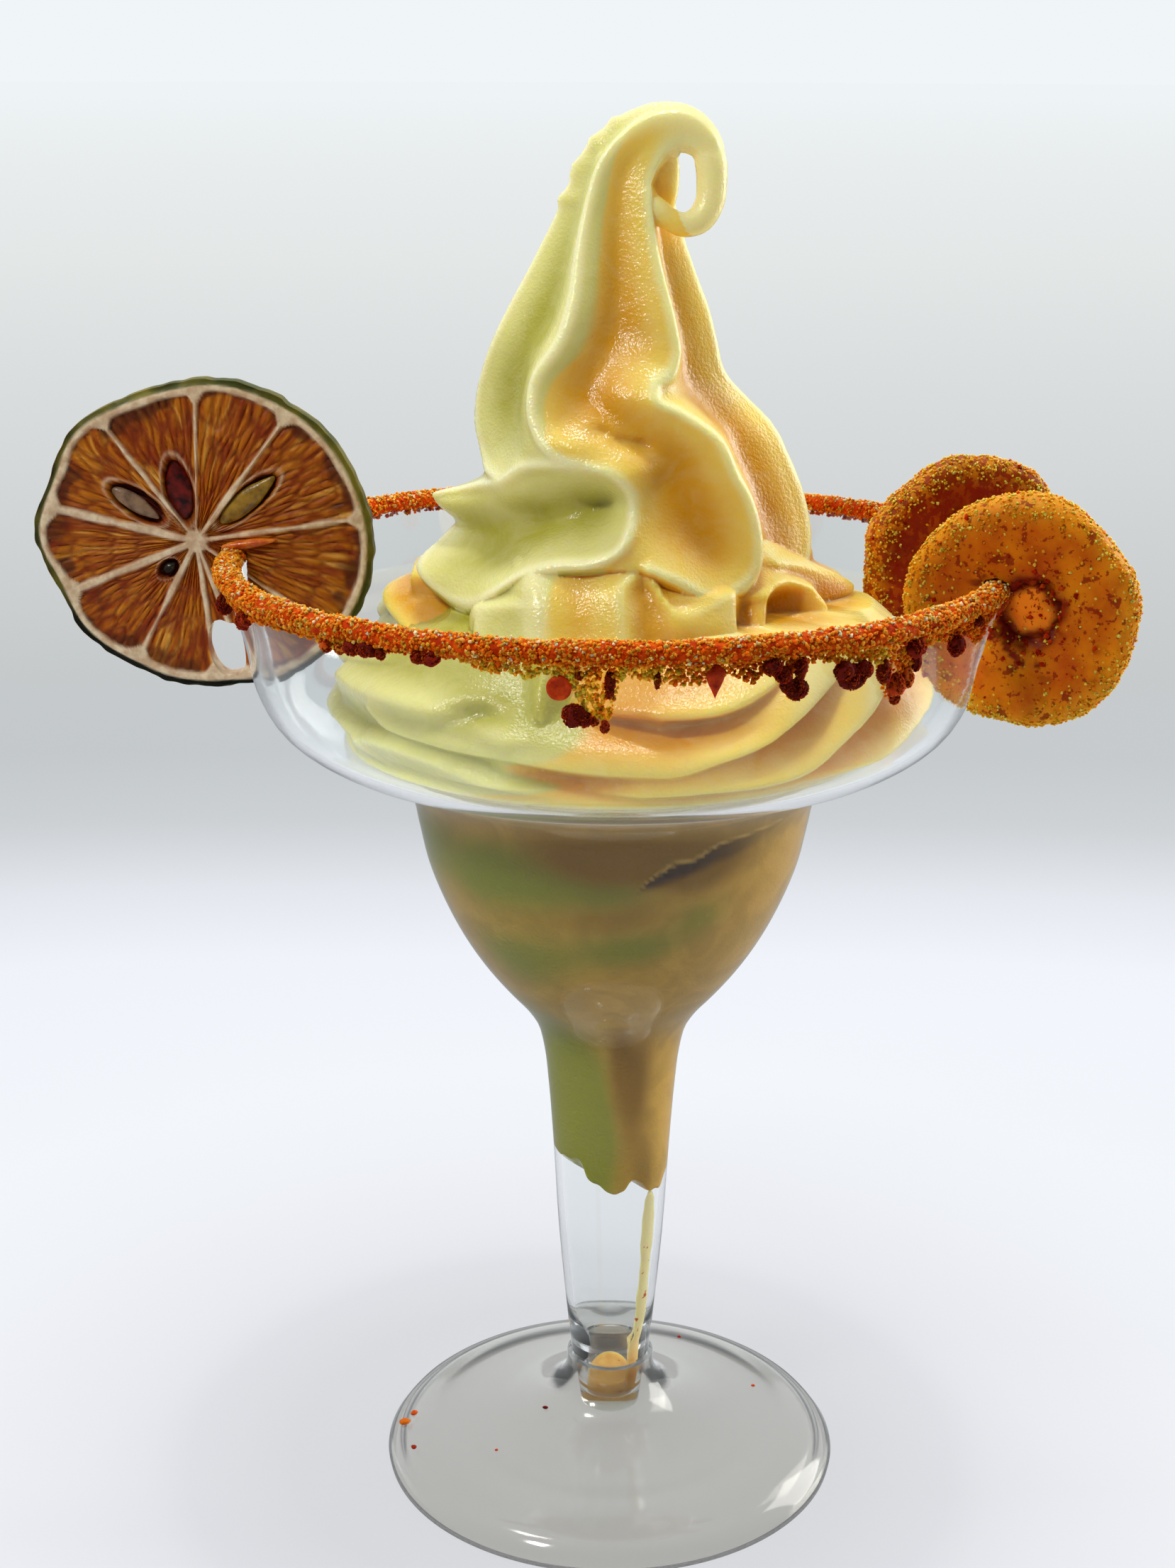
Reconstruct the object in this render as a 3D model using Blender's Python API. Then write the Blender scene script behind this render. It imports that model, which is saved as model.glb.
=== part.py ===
"""A frozen margarita in a two-piece clear glass, with a chili-salt rim, a dried lime and two gummy rings.

Lengths below are millimetres and angles are degrees until they reach a mesh. The glass's axis is
the middle of every polar position: angle 0 faces the front (-Y) and 90 faces the right (+X).
"""

import math
import random

import bmesh
import bpy
import numpy as np

MM = 0.001
CLEARANCE = 0.32            # between pieces that touch
GLASS_AXIS_X = 6.4          # puts the middle of the whole object at the origin

# Glass: a bowl with its hollow stem, and a foot that the stem plugs into
WALL = 1.1
RIM_RADIUS = 57.0
RIM_HEIGHT = 148.6
BOWL_SIDES = 40
FOOT_SIDES = 32
BOWL_OUTSIDE = (            # (radius, height) from the rim down to the stem's shoulder
    (RIM_RADIUS, RIM_HEIGHT), (55.9, 143.4), (54.3, 137.4), (53.1, 131.2), (50.4, 126.0),
    (45.2, 122.0), (37.6, 119.6), (32.2, 116.0), (30.2, 108.5), (26.6, 98.0), (20.8, 87.6),
    (14.4, 79.8), (10.9, 72.5), (9.4, 58.0), (8.3, 40.0), (6.3, 17.9),
)
PLUG = ((5.6, 17.7), (5.5, 15.5), (4.8, 7.8), (0.0, 6.6))
PLUG_INSIDE = ((5.3, 22.4), (4.4, 20.6), (3.9, 10.6), (0.0, 9.8))
FOOT_OUTSIDE = (            # (radius, height) from the collar down to the lip
    (6.95, 17.3), (7.0, 15.2), (7.7, 12.8), (10.0, 10.0), (15.0, 7.6), (23.0, 6.0),
    (31.6, 4.7), (34.8, 3.0), (36.3, 1.0), (36.1, 0.0),
)
FOOT_INSIDE = (
    (34.5, 0.0), (33.2, 2.3), (29.0, 4.0), (20.0, 5.2), (13.0, 7.0), (8.2, 9.8), (6.4, 12.8),
    (5.95, 15.0), (5.95, 17.3),
)

# Frozen drink: the swirl's peak, the ruffled tier below it, and the coil with the filling
PEAK_SIDES = 80
PEAK_ROWS = 46
PEAK_BODY = (               # (height, sideways shift of the middle, crest radius)
    (141.0, 0.6, 26.6), (147.5, 1.0, 27.4), (152.0, 2.4, 26.4), (157.0, 2.9, 25.0),
    (163.5, 2.8, 22.6), (168.7, 1.0, 21.4), (172.0, -0.6, 19.6), (175.4, -1.7, 17.7),
    (180.6, -1.6, 16.0), (184.0, -1.2, 14.7), (190.0, -0.7, 11.9), (195.0, -0.3, 9.7),
    (200.0, 0.3, 7.8),
)
PEAK_HOOK = (               # (right, towards the back, up, radius): the tip curls over to the right
    (1.0, 0.0, 203.2, 6.7), (2.9, 0.0, 206.2, 5.7), (5.9, -0.3, 208.7, 4.5),
    (9.4, -0.8, 209.3, 3.5), (12.2, -1.4, 207.4, 2.5), (13.2, -2.0, 204.2, 2.0),
    (13.1, -2.8, 200.9, 1.9), (12.0, -3.7, 198.0, 1.8), (10.1, -4.6, 196.4, 1.6),
)
HOOK_KISS = (8.2, -5.4, 196.3, 1.9)     # where the tip touches the peak again
PEAK_EDGE = (               # (angle, height) of the peak's overhanging lower edge
    (-180, 146.5), (-130, 148.5), (-108, 150.6), (-92, 150.6), (-78, 148.0), (-66, 144.9),
    (-53, 144.4),
    (-44, 146.4), (-34, 150.2), (-20, 151.9), (-4, 152.3), (5, 152.0), (13, 150.4), (21, 148.8),
    (30, 147.7), (40, 148.2), (50, 147.0), (72, 144.8), (100, 144.6), (140, 145.4), (180, 146.5),
)
PEAK_UNDERSIDE = ((0.0, 0.0), (0.5, -0.9), (1.8, -1.5), (4.0, -1.1), (7.5, 0.8), (13.0, 2.4))
PEAK_CRESTS = (             # (angle, height) down each crest; heights over 200 run along the hook
    ((-92, 240), (-92, 195), (-86, 180), (-89, 172), (-85, 167.5), (-74, 163.2), (-60, 162.0)),
    ((-40, 240), (-36, 203), (-31, 196), (-23, 186), (-24, 182), (-34, 176), (-35.5, 171),
     (-31, 167), (-19, 165.6), (-7, 164.4), (-1.8, 161.5), (-1.8, 157.5), (-4.5, 154.6),
     (-13, 152.7), (-24, 152.1), (-34, 150.4), (-40, 147.8), (-50, 145.2), (-60, 145.0),
     (-70, 146.4), (-80, 149.2), (-90, 151.6), (-104, 152.4)),
    ((-21, 165.4), (-33, 165.2), (-46, 164.2), (-58, 161.8), (-76, 160.2), (-92, 157.8)),
    ((30, 240), (34, 203), (35, 194), (39, 184), (40, 180), (36, 177.6), (24, 175.7),
     (22, 174.2), (30, 172.3), (38, 169.3), (39, 163.8), (42, 160), (43, 154), (41, 150),
     (34, 148), (26, 148), (15, 150.4), (5, 152.2)),
    ((88, 240), (88, 195), (88, 176), (92, 172), (89, 166), (86, 152), (80, 146)),
    ((150, 240), (148, 190), (140, 172), (134, 160), (138, 146)),
    ((-150, 240), (-148, 190), (-154, 172), (-166, 160), (-170, 146)),
    ((-128, 164), (-120, 158), (-116, 150), (-122, 146)),
)
PEAK_SWELLS = (             # (angle, height, rise, spread of angle, spread of height)
    (-90, 157.0, 5.6, 20, 2.7), (-78, 148.6, 3.4, 20, 3.4), (-50, 156.8, -2.6, 24, 2.6),
    (-15, 159.6, -3.6, 13, 2.4), (66, 162.0, -1.0, 14, 10.0), (6, 160.0, -1.6, 9, 6.0),
    (2, 171.5, 1.8, 16, 3.4), (3, 184.0, -1.0, 15, 9.0), (62, 186.0, -0.8, 12, 9.0),
)
PEAK_DEPTH = (6.0, 0.56)    # deepest flute, and depth for each unit of half spacing

TIER_SIDES = 84
TIER_HEIGHTS = 20
TIER_OUTSIDE = (            # (height, crest radius)
    (126.0, 33.4), (132.0, 33.2), (136.0, 32.4), (140.0, 31.4), (144.0, 30.0), (147.0, 28.8),
    (149.6, 27.2), (151.6, 25.0), (153.0, 22.0),
)
TIER_CRESTS = (             # (angle, height) down each crest
    ((-100, 126), (-99, 140), (-97, 144.4), (-91, 147.0)),
    ((-91, 147.0), (-84, 147.2), (-76, 145.4), (-69, 142.4), (-66, 126)),
    ((-52, 153), (-50, 147), (-47, 142), (-44, 126)), ((-27, 153), (-24, 146), (-18, 134), (-14, 126)),
    ((10, 153), (4, 150), (1.5, 146), (3, 126)), ((30, 149.5), (36, 147.6), (36, 126)),
    ((38, 144.4), (43, 146.4), (48, 148.0), (54, 148.6)),
    ((54, 148.6), (61, 147.8), (68, 145.2), (70, 141.5), (68, 126)),
    ((90, 153), (88, 144), (88, 126)), ((112, 153), (116, 126)), ((142, 153), (146, 126)),
    ((176, 153), (178, 126)), ((-152, 153), (-150, 126)), ((-124, 153), (-122, 126)),
)
TIER_SWELLS = (
    (-96, 144.4, 6.4, 18, 4.4), (-83, 143.2, -5.6, 7, 2.4), (74, 144.0, 5.4, 22, 5.4),
    (-34, 137.4, 2.4, 16, 3.0), (-14, 135.6, 1.6, 9, 3.0), (-112, 147.0, 3.4, 16, 3.2),
    (58, 144.8, -4.4, 8, 2.2), (100, 144.0, 4.4, 16, 4.4), (-35, 150.2, -3.4, 8, 2.4),
    (18, 147.4, -1.6, 8, 2.4), (-150, 144.0, 3.0, 40, 5.0), (150, 144.0, 3.0, 40, 5.0),
)
TIER_DEPTH = (5.0, 0.62)

COIL_SIDES = 3 * BOWL_SIDES
COIL_HEIGHTS = 28
COIL_SHIFT = 2.0            # the coil lies a little to the right
COIL_OUTSIDE = (            # (height, radius) of the lips, where the drink leaves the glass and up
    (122.2, 40.4), (124.6, 43.4), (128.0, 44.9), (131.6, 45.1), (135.6, 43.9), (139.0, 41.4),
    (141.4, 38.0), (143.4, 32.0),
)
COIL_RIBBONS = (            # slope of the face above the lip and below it, then the lip's route
    (0.75, 2.4, ((-54, 132.6), (-50, 131.2), (-38, 130.2), (-21, 129.7), (-10, 129.0), (2, 128.5),
                 (8, 128.4), (15, 129.8), (24, 131.8), (32, 134.9), (40, 137.6), (50, 139.6))),
    (0.8, 0.8, ((-66, 124.6), (-58, 126.8), (-49, 127.8), (-41, 127.8), (-33, 127.0), (-24, 125.4),
                (-12, 123.6), (0, 122.6))),
    (0.40, 2.0, ((2, 125.0), (14, 125.6), (27, 126.0), (34, 127.2), (41, 130.4), (50, 134.0),
                 (60, 137.8))),
    (0.5, 1.4, ((20, 122.8), (45, 124.2), (58, 126.0), (70, 127.8), (84, 131.2), (98, 136.0))),
    (1.6, 1.5, ((6, 135.2), (16, 136.4), (27, 138.6), (36, 141.0))),
    (1.6, 0.6, ((-60, 133.0), (-50, 134.2), (-36, 134.6), (-24, 133.4), (-12, 131.6))),
    (0.9, 0.9, ((-116, 131.0), (-96, 134.6), (-82, 135.6), (-70, 137.2), (-62, 138.2))),
    (0.5, 1.6, ((-130, 125.0), (-98, 128.6), (-80, 128.2), (-66, 127.0), (-52, 124.0))),
    (0.6, 1.4, ((88, 123.4), (110, 126.0), (135, 131.0), (165, 136.6))),
    (0.6, 1.4, ((124, 123.2), (150, 126.4), (175, 131.2), (205, 137.0))),
    (0.6, 1.4, ((162, 123.4), (190, 126.8), (215, 131.4), (245, 136.4))),
    (0.6, 1.4, ((205, 123.2), (230, 126.2), (250, 130.0), (268, 133.0))),
    (1.0, 1.2, ((74, 139.4), (100, 140.4), (140, 140.8), (180, 140.6), (230, 140.0), (262, 138.4))),
)
RIBBON_CURL = 0.06          # how fast each ribbon curls in under the one above it
LIP_ROUNDING = 0.5          # how round each lip is
RIBBON_BLEND = 2.6          # how crisply one ribbon meets the next
COIL_FLOOR = 5.0            # the coil is at least this far under its lips
FRONT_HOLLOW = (-6.0, 8.0, 58.0)        # angle, extra depth and spread of the lower front
COIL_SWELLS = (
    (-97, 137.0, -4.6, 9, 12.0), (103, 139.5, -6.4, 12, 8.0), (96, 128.4, 1.0, 14, 4.0),
    (14, 134.4, -1.0, 14, 1.4),
)
FILL_BOTTOM = 49.6          # lowest drink in the stem
FILL_BOTTOM_RISE = 4.6      # its uneven lower edge climbs this much to the left and right
CREST_ROUNDING = 0.10
DRINK_CLEARANCE = 0.42      # between the filling and the wall
DRINK_FACES = 5800          # kept where the surface bends most

# Drink that ran down inside the stem
POOL_BOTTOM, POOL_TOP, POOL_RADIUS = 10.55, 15.4, 3.6
TRICKLE_ANGLE = 48.0
TRICKLE_TOP = 46.0
TRICKLE_WIDTH = (3.0, 2.2)  # at its top and at its foot
TRICKLE_THICKNESS = 0.8

# Chili-salt crust over the rim
CRUST_SIDES = BOWL_SIDES
CRUST_SECTION = (           # (radius, height) round the band, starting outside at its lower edge
    (57.45, 146.3), (58.9, 146.1), (59.6, 147.5), (59.0, 149.6), (56.6, 150.5), (54.4, 149.5),
    (53.8, 147.8), (54.3, 146.6), (55.05, 146.7), (55.36, 149.1), (57.45, 149.2),
)
CRUST_FIXED = (0, 8, 9, 10)             # section points that face the glass
CRUST_WAVES = ((5, 0.22), (9, 0.20), (17, 0.20), (23, 0.16))
CRUST_BOTTOM = 147.0        # what hangs below this is joined by a thin run
CRUST_GRAINS = 12
CRUST_FACES = 2100
GRAIN_RADIUS = (0.45, 0.8)
CRUST_LUMPS = (             # (angle, height, radius): what hangs from the crust
    (-62.0, 145.2, 1.6), (-40.0, 146.0, 1.7), (-34.3, 146.0, 1.8), (-24.2, 146.1, 1.7),
    (-13.0, 145.9, 1.7), (-6.8, 143.9, 1.7), (-4.6, 141.2, 1.8), (-1.9, 143.9, 1.6),
    (5.5, 145.6, 1.4), (13.1, 145.6, 1.7), (20.5, 145.9, 1.6), (23.4, 143.2, 2.0),
    (32.1, 144.2, 2.4), (37.6, 145.0, 2.0), (40.6, 143.0, 1.7), (43.8, 145.2, 1.9),
    (52.3, 145.2, 1.7),
)

# Dried lime slice, standing on the rim at the left
LIME_ANGLE = -90.0
LIME_SHIFT = 2.6            # its plane lies this far behind the glass's axis
LIME_CENTRE = (61.2, 151.3)             # (distance from the axis, height)
LIME_THICKNESS = 3.6
LIME_SIDES = 54
LIME_RADII = (              # every 20 degrees, from the side towards the swirl round by the top
    25.2, 24.5, 24.0, 23.3, 22.9, 22.1, 22.4, 23.6, 23.1, 24.2, 22.6, 23.1, 22.4, 22.7, 22.9,
    24.4, 25.2, 25.6,
)
LIME_GAP = ((55.6, 137.6), (59.4, 138.4), (59.7, 131.6), (58.4, 130.2), (56.0, 130.4))

# Gummy rings on the rim at the right
RING_OUTER, RING_HOLE = 16.4, 3.6
RING_THICKNESS = 5.6
RING_SIDES = 34
RING_PLACES = {             # angle, distance of the middle from the axis, height, hole's shift, seed
    "gummy_ring_front": (72.0, 59.8, 145.0, (1.6, 0.6), 3),
    "gummy_ring_back": (103.0, 54.8, 145.2, (0.4, 0.2), 8),
}
SLIT = 0.42                 # play each side of the wall in what is pushed onto the rim


def clear_scene():
    for thing in list(bpy.data.objects):
        bpy.data.objects.remove(thing, do_unlink=True)


def material(name, colour, roughness, alpha=1.0):
    made = bpy.data.materials.new(name)
    made.use_nodes = True
    shader = made.node_tree.nodes["Principled BSDF"]
    shader.inputs["Base Color"].default_value = (*colour, 1.0)
    shader.inputs["Roughness"].default_value = roughness
    shader.inputs["Metallic"].default_value = 0.0
    shader.inputs["Alpha"].default_value = alpha
    return made


def new_object(name, vertices, faces, finish=None):
    """An object with its vertices given in millimetres."""
    mesh = bpy.data.meshes.new(name)
    mesh.from_pydata([tuple(float(c) * MM for c in v) for v in vertices], [], faces)
    mesh.update()
    made = bpy.data.objects.new(name, mesh)
    bpy.context.scene.collection.objects.link(made)
    if finish:
        mesh.materials.append(finish)
    return made


def face_outward(thing):
    made = bmesh.new()
    made.from_mesh(thing.data)
    bmesh.ops.recalc_face_normals(made, faces=made.faces)
    made.to_mesh(thing.data)
    made.free()


def round_shading(thing, sharp_angle=40):
    thing.data.shade_smooth()
    thing.data.set_sharp_from_angle(angle=math.radians(sharp_angle))


def curve_at(x, points, column=1):
    """A smooth curve through (x, value, ...) points, read at the array x."""
    xs = np.array([p[0] for p in points], float)
    ys = np.array([p[column] for p in points], float)
    slope = np.gradient(ys, xs)
    x = np.clip(np.asarray(x, float), xs[0], xs[-1])
    i = np.clip(np.searchsorted(xs, x) - 1, 0, len(xs) - 2)
    step = xs[i + 1] - xs[i]
    t = (x - xs[i]) / step
    return (ys[i] * (2 * t**3 - 3 * t**2 + 1) + ys[i + 1] * (3 * t**2 - 2 * t**3)
            + slope[i] * step * (t**3 - 2 * t**2 + t) + slope[i + 1] * step * (t**3 - t**2))


def smooth_outline(points, count):
    """count points spaced evenly along a smooth curve through (radius, height) points."""
    points = np.array(points, float)
    along = np.concatenate([[0], np.cumsum(np.hypot(*np.diff(points, axis=0).T))])
    s = np.linspace(0, along[-1], count)
    table = [(a, *p) for a, p in zip(along, points)]
    return np.stack([curve_at(s, table, 1), curve_at(s, table, 2)], -1)


def offset_outline(points, distance):
    """The outline moved outwards, for one that is walked downwards."""
    points = np.array(points, float)
    direction = np.gradient(points, axis=0)
    direction /= np.hypot(direction[:, 0], direction[:, 1])[:, None]
    return points + distance * np.stack([-direction[:, 1], direction[:, 0]], -1)


def turned(name, outline, sides, closed, finish=None):
    """A (radius, height) outline spun round the axis: closed, or ending on the axis."""
    made = bmesh.new()
    row = [made.verts.new((r * MM, 0.0, z * MM)) for r, z in outline]
    edges = [made.edges.new(pair) for pair in zip(row, row[1:])]
    if closed:
        edges.append(made.edges.new((row[-1], row[0])))
    bmesh.ops.spin(made, geom=row + edges, cent=(0, 0, 0), axis=(0, 0, 1),
                   angle=2 * math.pi, steps=sides, use_duplicate=False)
    bmesh.ops.remove_doubles(made, verts=made.verts, dist=1e-6)
    bmesh.ops.recalc_face_normals(made, faces=made.faces)
    mesh = bpy.data.meshes.new(name)
    made.to_mesh(mesh)
    made.free()
    thing = bpy.data.objects.new(name, mesh)
    bpy.context.scene.collection.objects.link(thing)
    if finish:
        mesh.materials.append(finish)
    return thing


def bowl_inside(extra=0.0):
    """The inside of the bowl and stem, from the rim down, drawn in further by extra."""
    inside = offset_outline(BOWL_OUTSIDE, -(WALL + extra))[:-1]
    shoulder = np.array([[BOWL_OUTSIDE[-1][0] - WALL - extra + 0.7, PLUG_INSIDE[0][1] + 3.6]])
    return np.concatenate([inside, shoulder])


def outside_radius(height):
    """The bowl's outer radius at a height."""
    wall = np.array(BOWL_OUTSIDE)[::-1]
    return float(np.interp(height, wall[:, 1], wall[:, 0]))


def closed_loft(name, rows, finish=None, bottom=None, top=None):
    """Rings of points, lowest first, closed at each end by a point."""
    rows = [np.asarray(r, float) for r in rows]
    sides = len(rows[0])
    vertices = [p for r in rows for p in r]
    first, last = len(vertices), len(vertices) + 1
    vertices += [bottom if bottom is not None else rows[0].mean(0),
                 top if top is not None else rows[-1].mean(0)]
    faces = []
    for j in range(len(rows) - 1):
        for i in range(sides):
            k = (i + 1) % sides
            faces.append((j * sides + i, j * sides + k, (j + 1) * sides + k, (j + 1) * sides + i))
    end = (len(rows) - 1) * sides
    for i in range(sides):
        k = (i + 1) % sides
        faces.append((first, k, i))
        faces.append((last, end + i, end + k))
    thing = new_object(name, vertices, faces, finish)
    face_outward(thing)
    return thing


def swelling(angle, height, swells):
    """How far soft bulges and hollows move the surface outwards."""
    rise = np.zeros(np.broadcast(angle, height).shape)
    for a, h, amount, spread_angle, spread_height in swells:
        turn = (angle - a + 180) % 360 - 180
        rise = rise + amount * np.exp(-(turn / spread_angle)**2 - ((height - h) / spread_height)**2)
    return rise


def flute_depth(points, crests, limits):
    """Depth of the hollow between the two nearest crests, each an array of points."""
    near = np.stack([np.sqrt(((points[:, None] - c[None])**2).sum(-1).min(1)) for c in crests])
    near.sort(axis=0)
    nearest, second = near[0], near[1]
    across = 2 * nearest / (nearest + second + 1e-9)
    across = np.sqrt(across**2 + CREST_ROUNDING**2) - CREST_ROUNDING
    deepest = np.minimum(limits[0], limits[1] * (nearest + second) / 2)
    return deepest * (1 - (1 - np.clip(across, 0, 1))**2)


def route(points, count=400):
    """A smooth line through (angle, height) points."""
    points = np.array(points, float)
    along = np.concatenate([[0], np.cumsum(np.hypot(*(np.diff(points, axis=0) * (0.4, 1)).T))])
    table = [(a, *p) for a, p in zip(along, points)]
    s = np.linspace(0, along[-1], count)
    return curve_at(s, table, 1), curve_at(s, table, 2)


def peak_stations():
    """(station, right, back, up, radius) up the peak and along its hook."""
    rows = [(z, x, 0.0, z, r) for z, x, r in PEAK_BODY]
    station, before = rows[-1][0], rows[-1][1:4]
    for x, y, z, r in PEAK_HOOK:
        station += math.dist(before, (x, y, z))
        before = (x, y, z)
        rows.append((station, x, y, z, r))
    return rows


def peak_point(angle, station):
    """The point on the peak's crest surface at an angle and a station, and its outward way."""
    rows = peak_stations()
    step = 0.2
    station = np.minimum(station, rows[-1][0] - step)
    middle = np.stack([curve_at(station, rows, k) for k in (1, 2, 3)], -1)
    ahead = np.stack([curve_at(station + step, rows, k) for k in (1, 2, 3)], -1)
    behind = np.stack([curve_at(station - step, rows, k) for k in (1, 2, 3)], -1)
    tangent = ahead - behind
    tangent /= np.linalg.norm(tangent, axis=-1, keepdims=True) + 1e-12
    bend = np.clip((station - 198) / 6, 0, 1)[..., None]
    tangent = (1 - bend) * np.array([0, 0, 1.0]) + bend * tangent
    tangent /= np.linalg.norm(tangent, axis=-1, keepdims=True)
    right = np.cross(np.array([0, 1.0, 0]), tangent)
    right /= np.linalg.norm(right, axis=-1, keepdims=True)
    front = np.cross(right, tangent)
    a = np.radians(angle)[..., None]
    way = right * np.sin(a) + front * np.cos(a)
    radius = curve_at(station, rows, 4) + swelling(angle, station, PEAK_SWELLS)
    return middle + way * radius[..., None], way


def peak(sides, rows):
    """The fluted peak with its curled tip, overhanging at its lower edge."""
    angle = np.arange(sides) * 360.0 / sides - 180
    edge = curve_at(angle, PEAK_EDGE)
    last = peak_stations()[-1][0]
    crests = [peak_point(*route(c))[0] for c in PEAK_CRESTS]
    body = np.linspace(0, 1, rows)
    hook = np.linspace(0, 1, rows // 2 + 2)[1:]
    stations = [edge + (200 - edge) * t for t in body] + [np.full(sides, 200 + (last - 200) * t)
                                                       for t in hook]
    made = []
    for k, station in enumerate(stations):
        surface, way = peak_point(angle, station)
        hollow = flute_depth(surface, crests, PEAK_DEPTH)
        ring = surface - way * hollow[:, None]
        if k == 0:
            for inset, rise in reversed(PEAK_UNDERSIDE[1:]):
                under = ring - way * inset
                under[:, 2] += rise
                made.append(under)
        made.append(ring)
    return made


def tier_point(angle, height):
    radius = curve_at(height, TIER_OUTSIDE) + swelling(angle, height, TIER_SWELLS)
    a = np.radians(angle)
    way = np.stack([np.sin(a), -np.cos(a), np.zeros_like(a)], -1)
    at = way * radius[..., None]
    at[..., 0] += 1.2
    at[..., 2] = height
    return at, way


def tier(sides, rows):
    """The ruffled tier under the peak, with upright flutes."""
    angle = np.arange(sides) * 360.0 / sides - 180
    crests = [tier_point(*route(c, 200))[0] for c in TIER_CRESTS]
    made = []
    for height in np.linspace(TIER_OUTSIDE[0][0], TIER_OUTSIDE[-1][0], rows):
        surface, way = tier_point(angle, np.full(sides, height))
        made.append(surface - way * flute_depth(surface, crests, TIER_DEPTH)[:, None])
    for share in (0.6, 0.3):
        made.append(made[rows - 1] * (share, share, 1) + (0, 0, 0.6 * (1 - share)))
    return made


def coil_radius(angle, height):
    """The coil's radius: the outermost of the ribbons that lie on one another there."""
    front, deeper, spread = FRONT_HOLLOW
    floor = COIL_FLOOR + deeper * np.exp(-((angle - front) / spread)**4)
    reach = [np.exp(RIBBON_BLEND * (curve_at(height, COIL_OUTSIDE) - floor - 40))]
    for face, under, lip in COIL_RIBBONS:
        middle = (lip[0][0] + lip[-1][0]) / 2
        turn = middle + (angle - middle + 180) % 360 - 180
        level = curve_at(turn, lip)
        beyond = np.maximum(lip[0][0] - turn, 0) + np.maximum(turn - lip[-1][0], 0)
        over = height - level
        bend = np.sqrt(over**2 + LIP_ROUNDING**2)
        above, below = (bend + over) / 2, (bend - over) / 2
        drop = face * above + RIBBON_CURL * above**2 + under * below
        radius = curve_at(level, COIL_OUTSIDE) - drop - 0.35 * beyond + LIP_ROUNDING / 2
        reach.append(np.exp(RIBBON_BLEND * (radius - 40)))
    return 40 + np.log(sum(reach)) / RIBBON_BLEND + swelling(angle, height, COIL_SWELLS)


def coil(sides, rows, clearance):
    """The filling of the stem and bowl, and the coil that lies on the saucer."""
    angle = np.arange(sides) * 360.0 / sides - 180
    a = np.radians(angle)
    way = np.stack([np.sin(a), -np.cos(a), np.zeros_like(a)], -1)
    inside = bowl_inside(clearance)[::-1]
    low = FILL_BOTTOM + FILL_BOTTOM_RISE
    bottom, top = COIL_OUTSIDE[0], COIL_OUTSIDE[-1]
    filling = inside[(inside[:, 1] > low + 3.0) & (inside[:, 0] < bottom[1])]
    uneven = FILL_BOTTOM_RISE * (0.5 - 0.5 * np.cos(np.radians(angle - 8))) ** 0.7
    stem = float(np.interp(low, inside[:, 1], inside[:, 0]))
    made = [way * stem * share + np.stack([0 * a, 0 * a, FILL_BOTTOM + uneven * min(1, share + 0.1)
                                           + rise], -1)
            for share, rise in ((0.45, 0.3), (0.84, 1.1), (1.0, 3.2))]
    made += [way * r + (0, 0, z) for r, z in filling]
    for height in np.linspace(bottom[0], top[0], rows):
        lift = min(1.0, (height - bottom[0]) / 3.0)
        radius = (1 - lift) * bottom[1] + lift * coil_radius(angle, np.full(sides, height))
        made.append(way * np.minimum(radius, 46.5)[:, None] + (COIL_SHIFT * lift, 0, height))
    made.append(made[-1] * (0.5, 0.5, 1) + (COIL_SHIFT * 0.5, 0, 0.5))
    return made


def move_to_collection(thing, group):
    for c in list(thing.users_collection):
        c.objects.unlink(thing)
    group.objects.link(thing)


def fuse(base, pieces, solver="EXACT"):
    """One Boolean union of base with all the pieces, applied, and the pieces removed."""
    group = bpy.data.collections.new(base.name + "_pieces")
    bpy.context.scene.collection.children.link(group)
    for piece in pieces:
        move_to_collection(piece, group)
    join = base.modifiers.new("fuse", "BOOLEAN")
    join.operation = "UNION"
    join.operand_type = "COLLECTION"
    join.collection = group
    join.solver = solver
    apply_modifiers(base)
    for piece in pieces:
        bpy.data.objects.remove(piece, do_unlink=True)
    bpy.data.collections.remove(group)


def apply_modifiers(thing):
    bpy.context.view_layer.update()
    evaluated = thing.evaluated_get(bpy.context.evaluated_depsgraph_get())
    mesh = bpy.data.meshes.new_from_object(evaluated)
    thing.modifiers.clear()
    thing.data = mesh


def cut(thing, cutter):
    hollow = thing.modifiers.new("cut", "BOOLEAN")
    hollow.operation = "DIFFERENCE"
    hollow.object = cutter
    hollow.solver = "EXACT"
    apply_modifiers(thing)


def keep_largest(thing):
    """Drops loose scraps, so that one closed body is left."""
    made = bmesh.new()
    made.from_mesh(thing.data)
    bmesh.ops.remove_doubles(made, verts=made.verts, dist=1e-6)
    unseen = set(made.verts)
    groups = []
    while unseen:
        start = unseen.pop()
        group, stack = [start], [start]
        while stack:
            for edge in stack.pop().link_edges:
                for v in edge.verts:
                    if v in unseen:
                        unseen.remove(v)
                        group.append(v)
                        stack.append(v)
        groups.append(group)
    groups.sort(key=len)
    for group in groups[:-1]:
        bmesh.ops.delete(made, geom=group, context="VERTS")
    bmesh.ops.triangulate(made, faces=made.faces)
    made.to_mesh(thing.data)
    made.free()


def closed(mesh):
    made = bmesh.new()
    made.from_mesh(mesh)
    whole = all(len(edge.link_faces) == 2 for edge in made.edges)
    made.free()
    return whole


def thin_out(thing, faces):
    """Merges faces on the flatter stretches until about so many are left, and the mesh is closed."""
    full = thing.data
    for extra in range(0, 400, 20):
        thing.data = full
        fewer = thing.modifiers.new("thin", "DECIMATE")
        fewer.ratio = min(1.0, (faces + extra) / len(full.polygons))
        apply_modifiers(thing)
        if closed(thing.data):
            return


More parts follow.
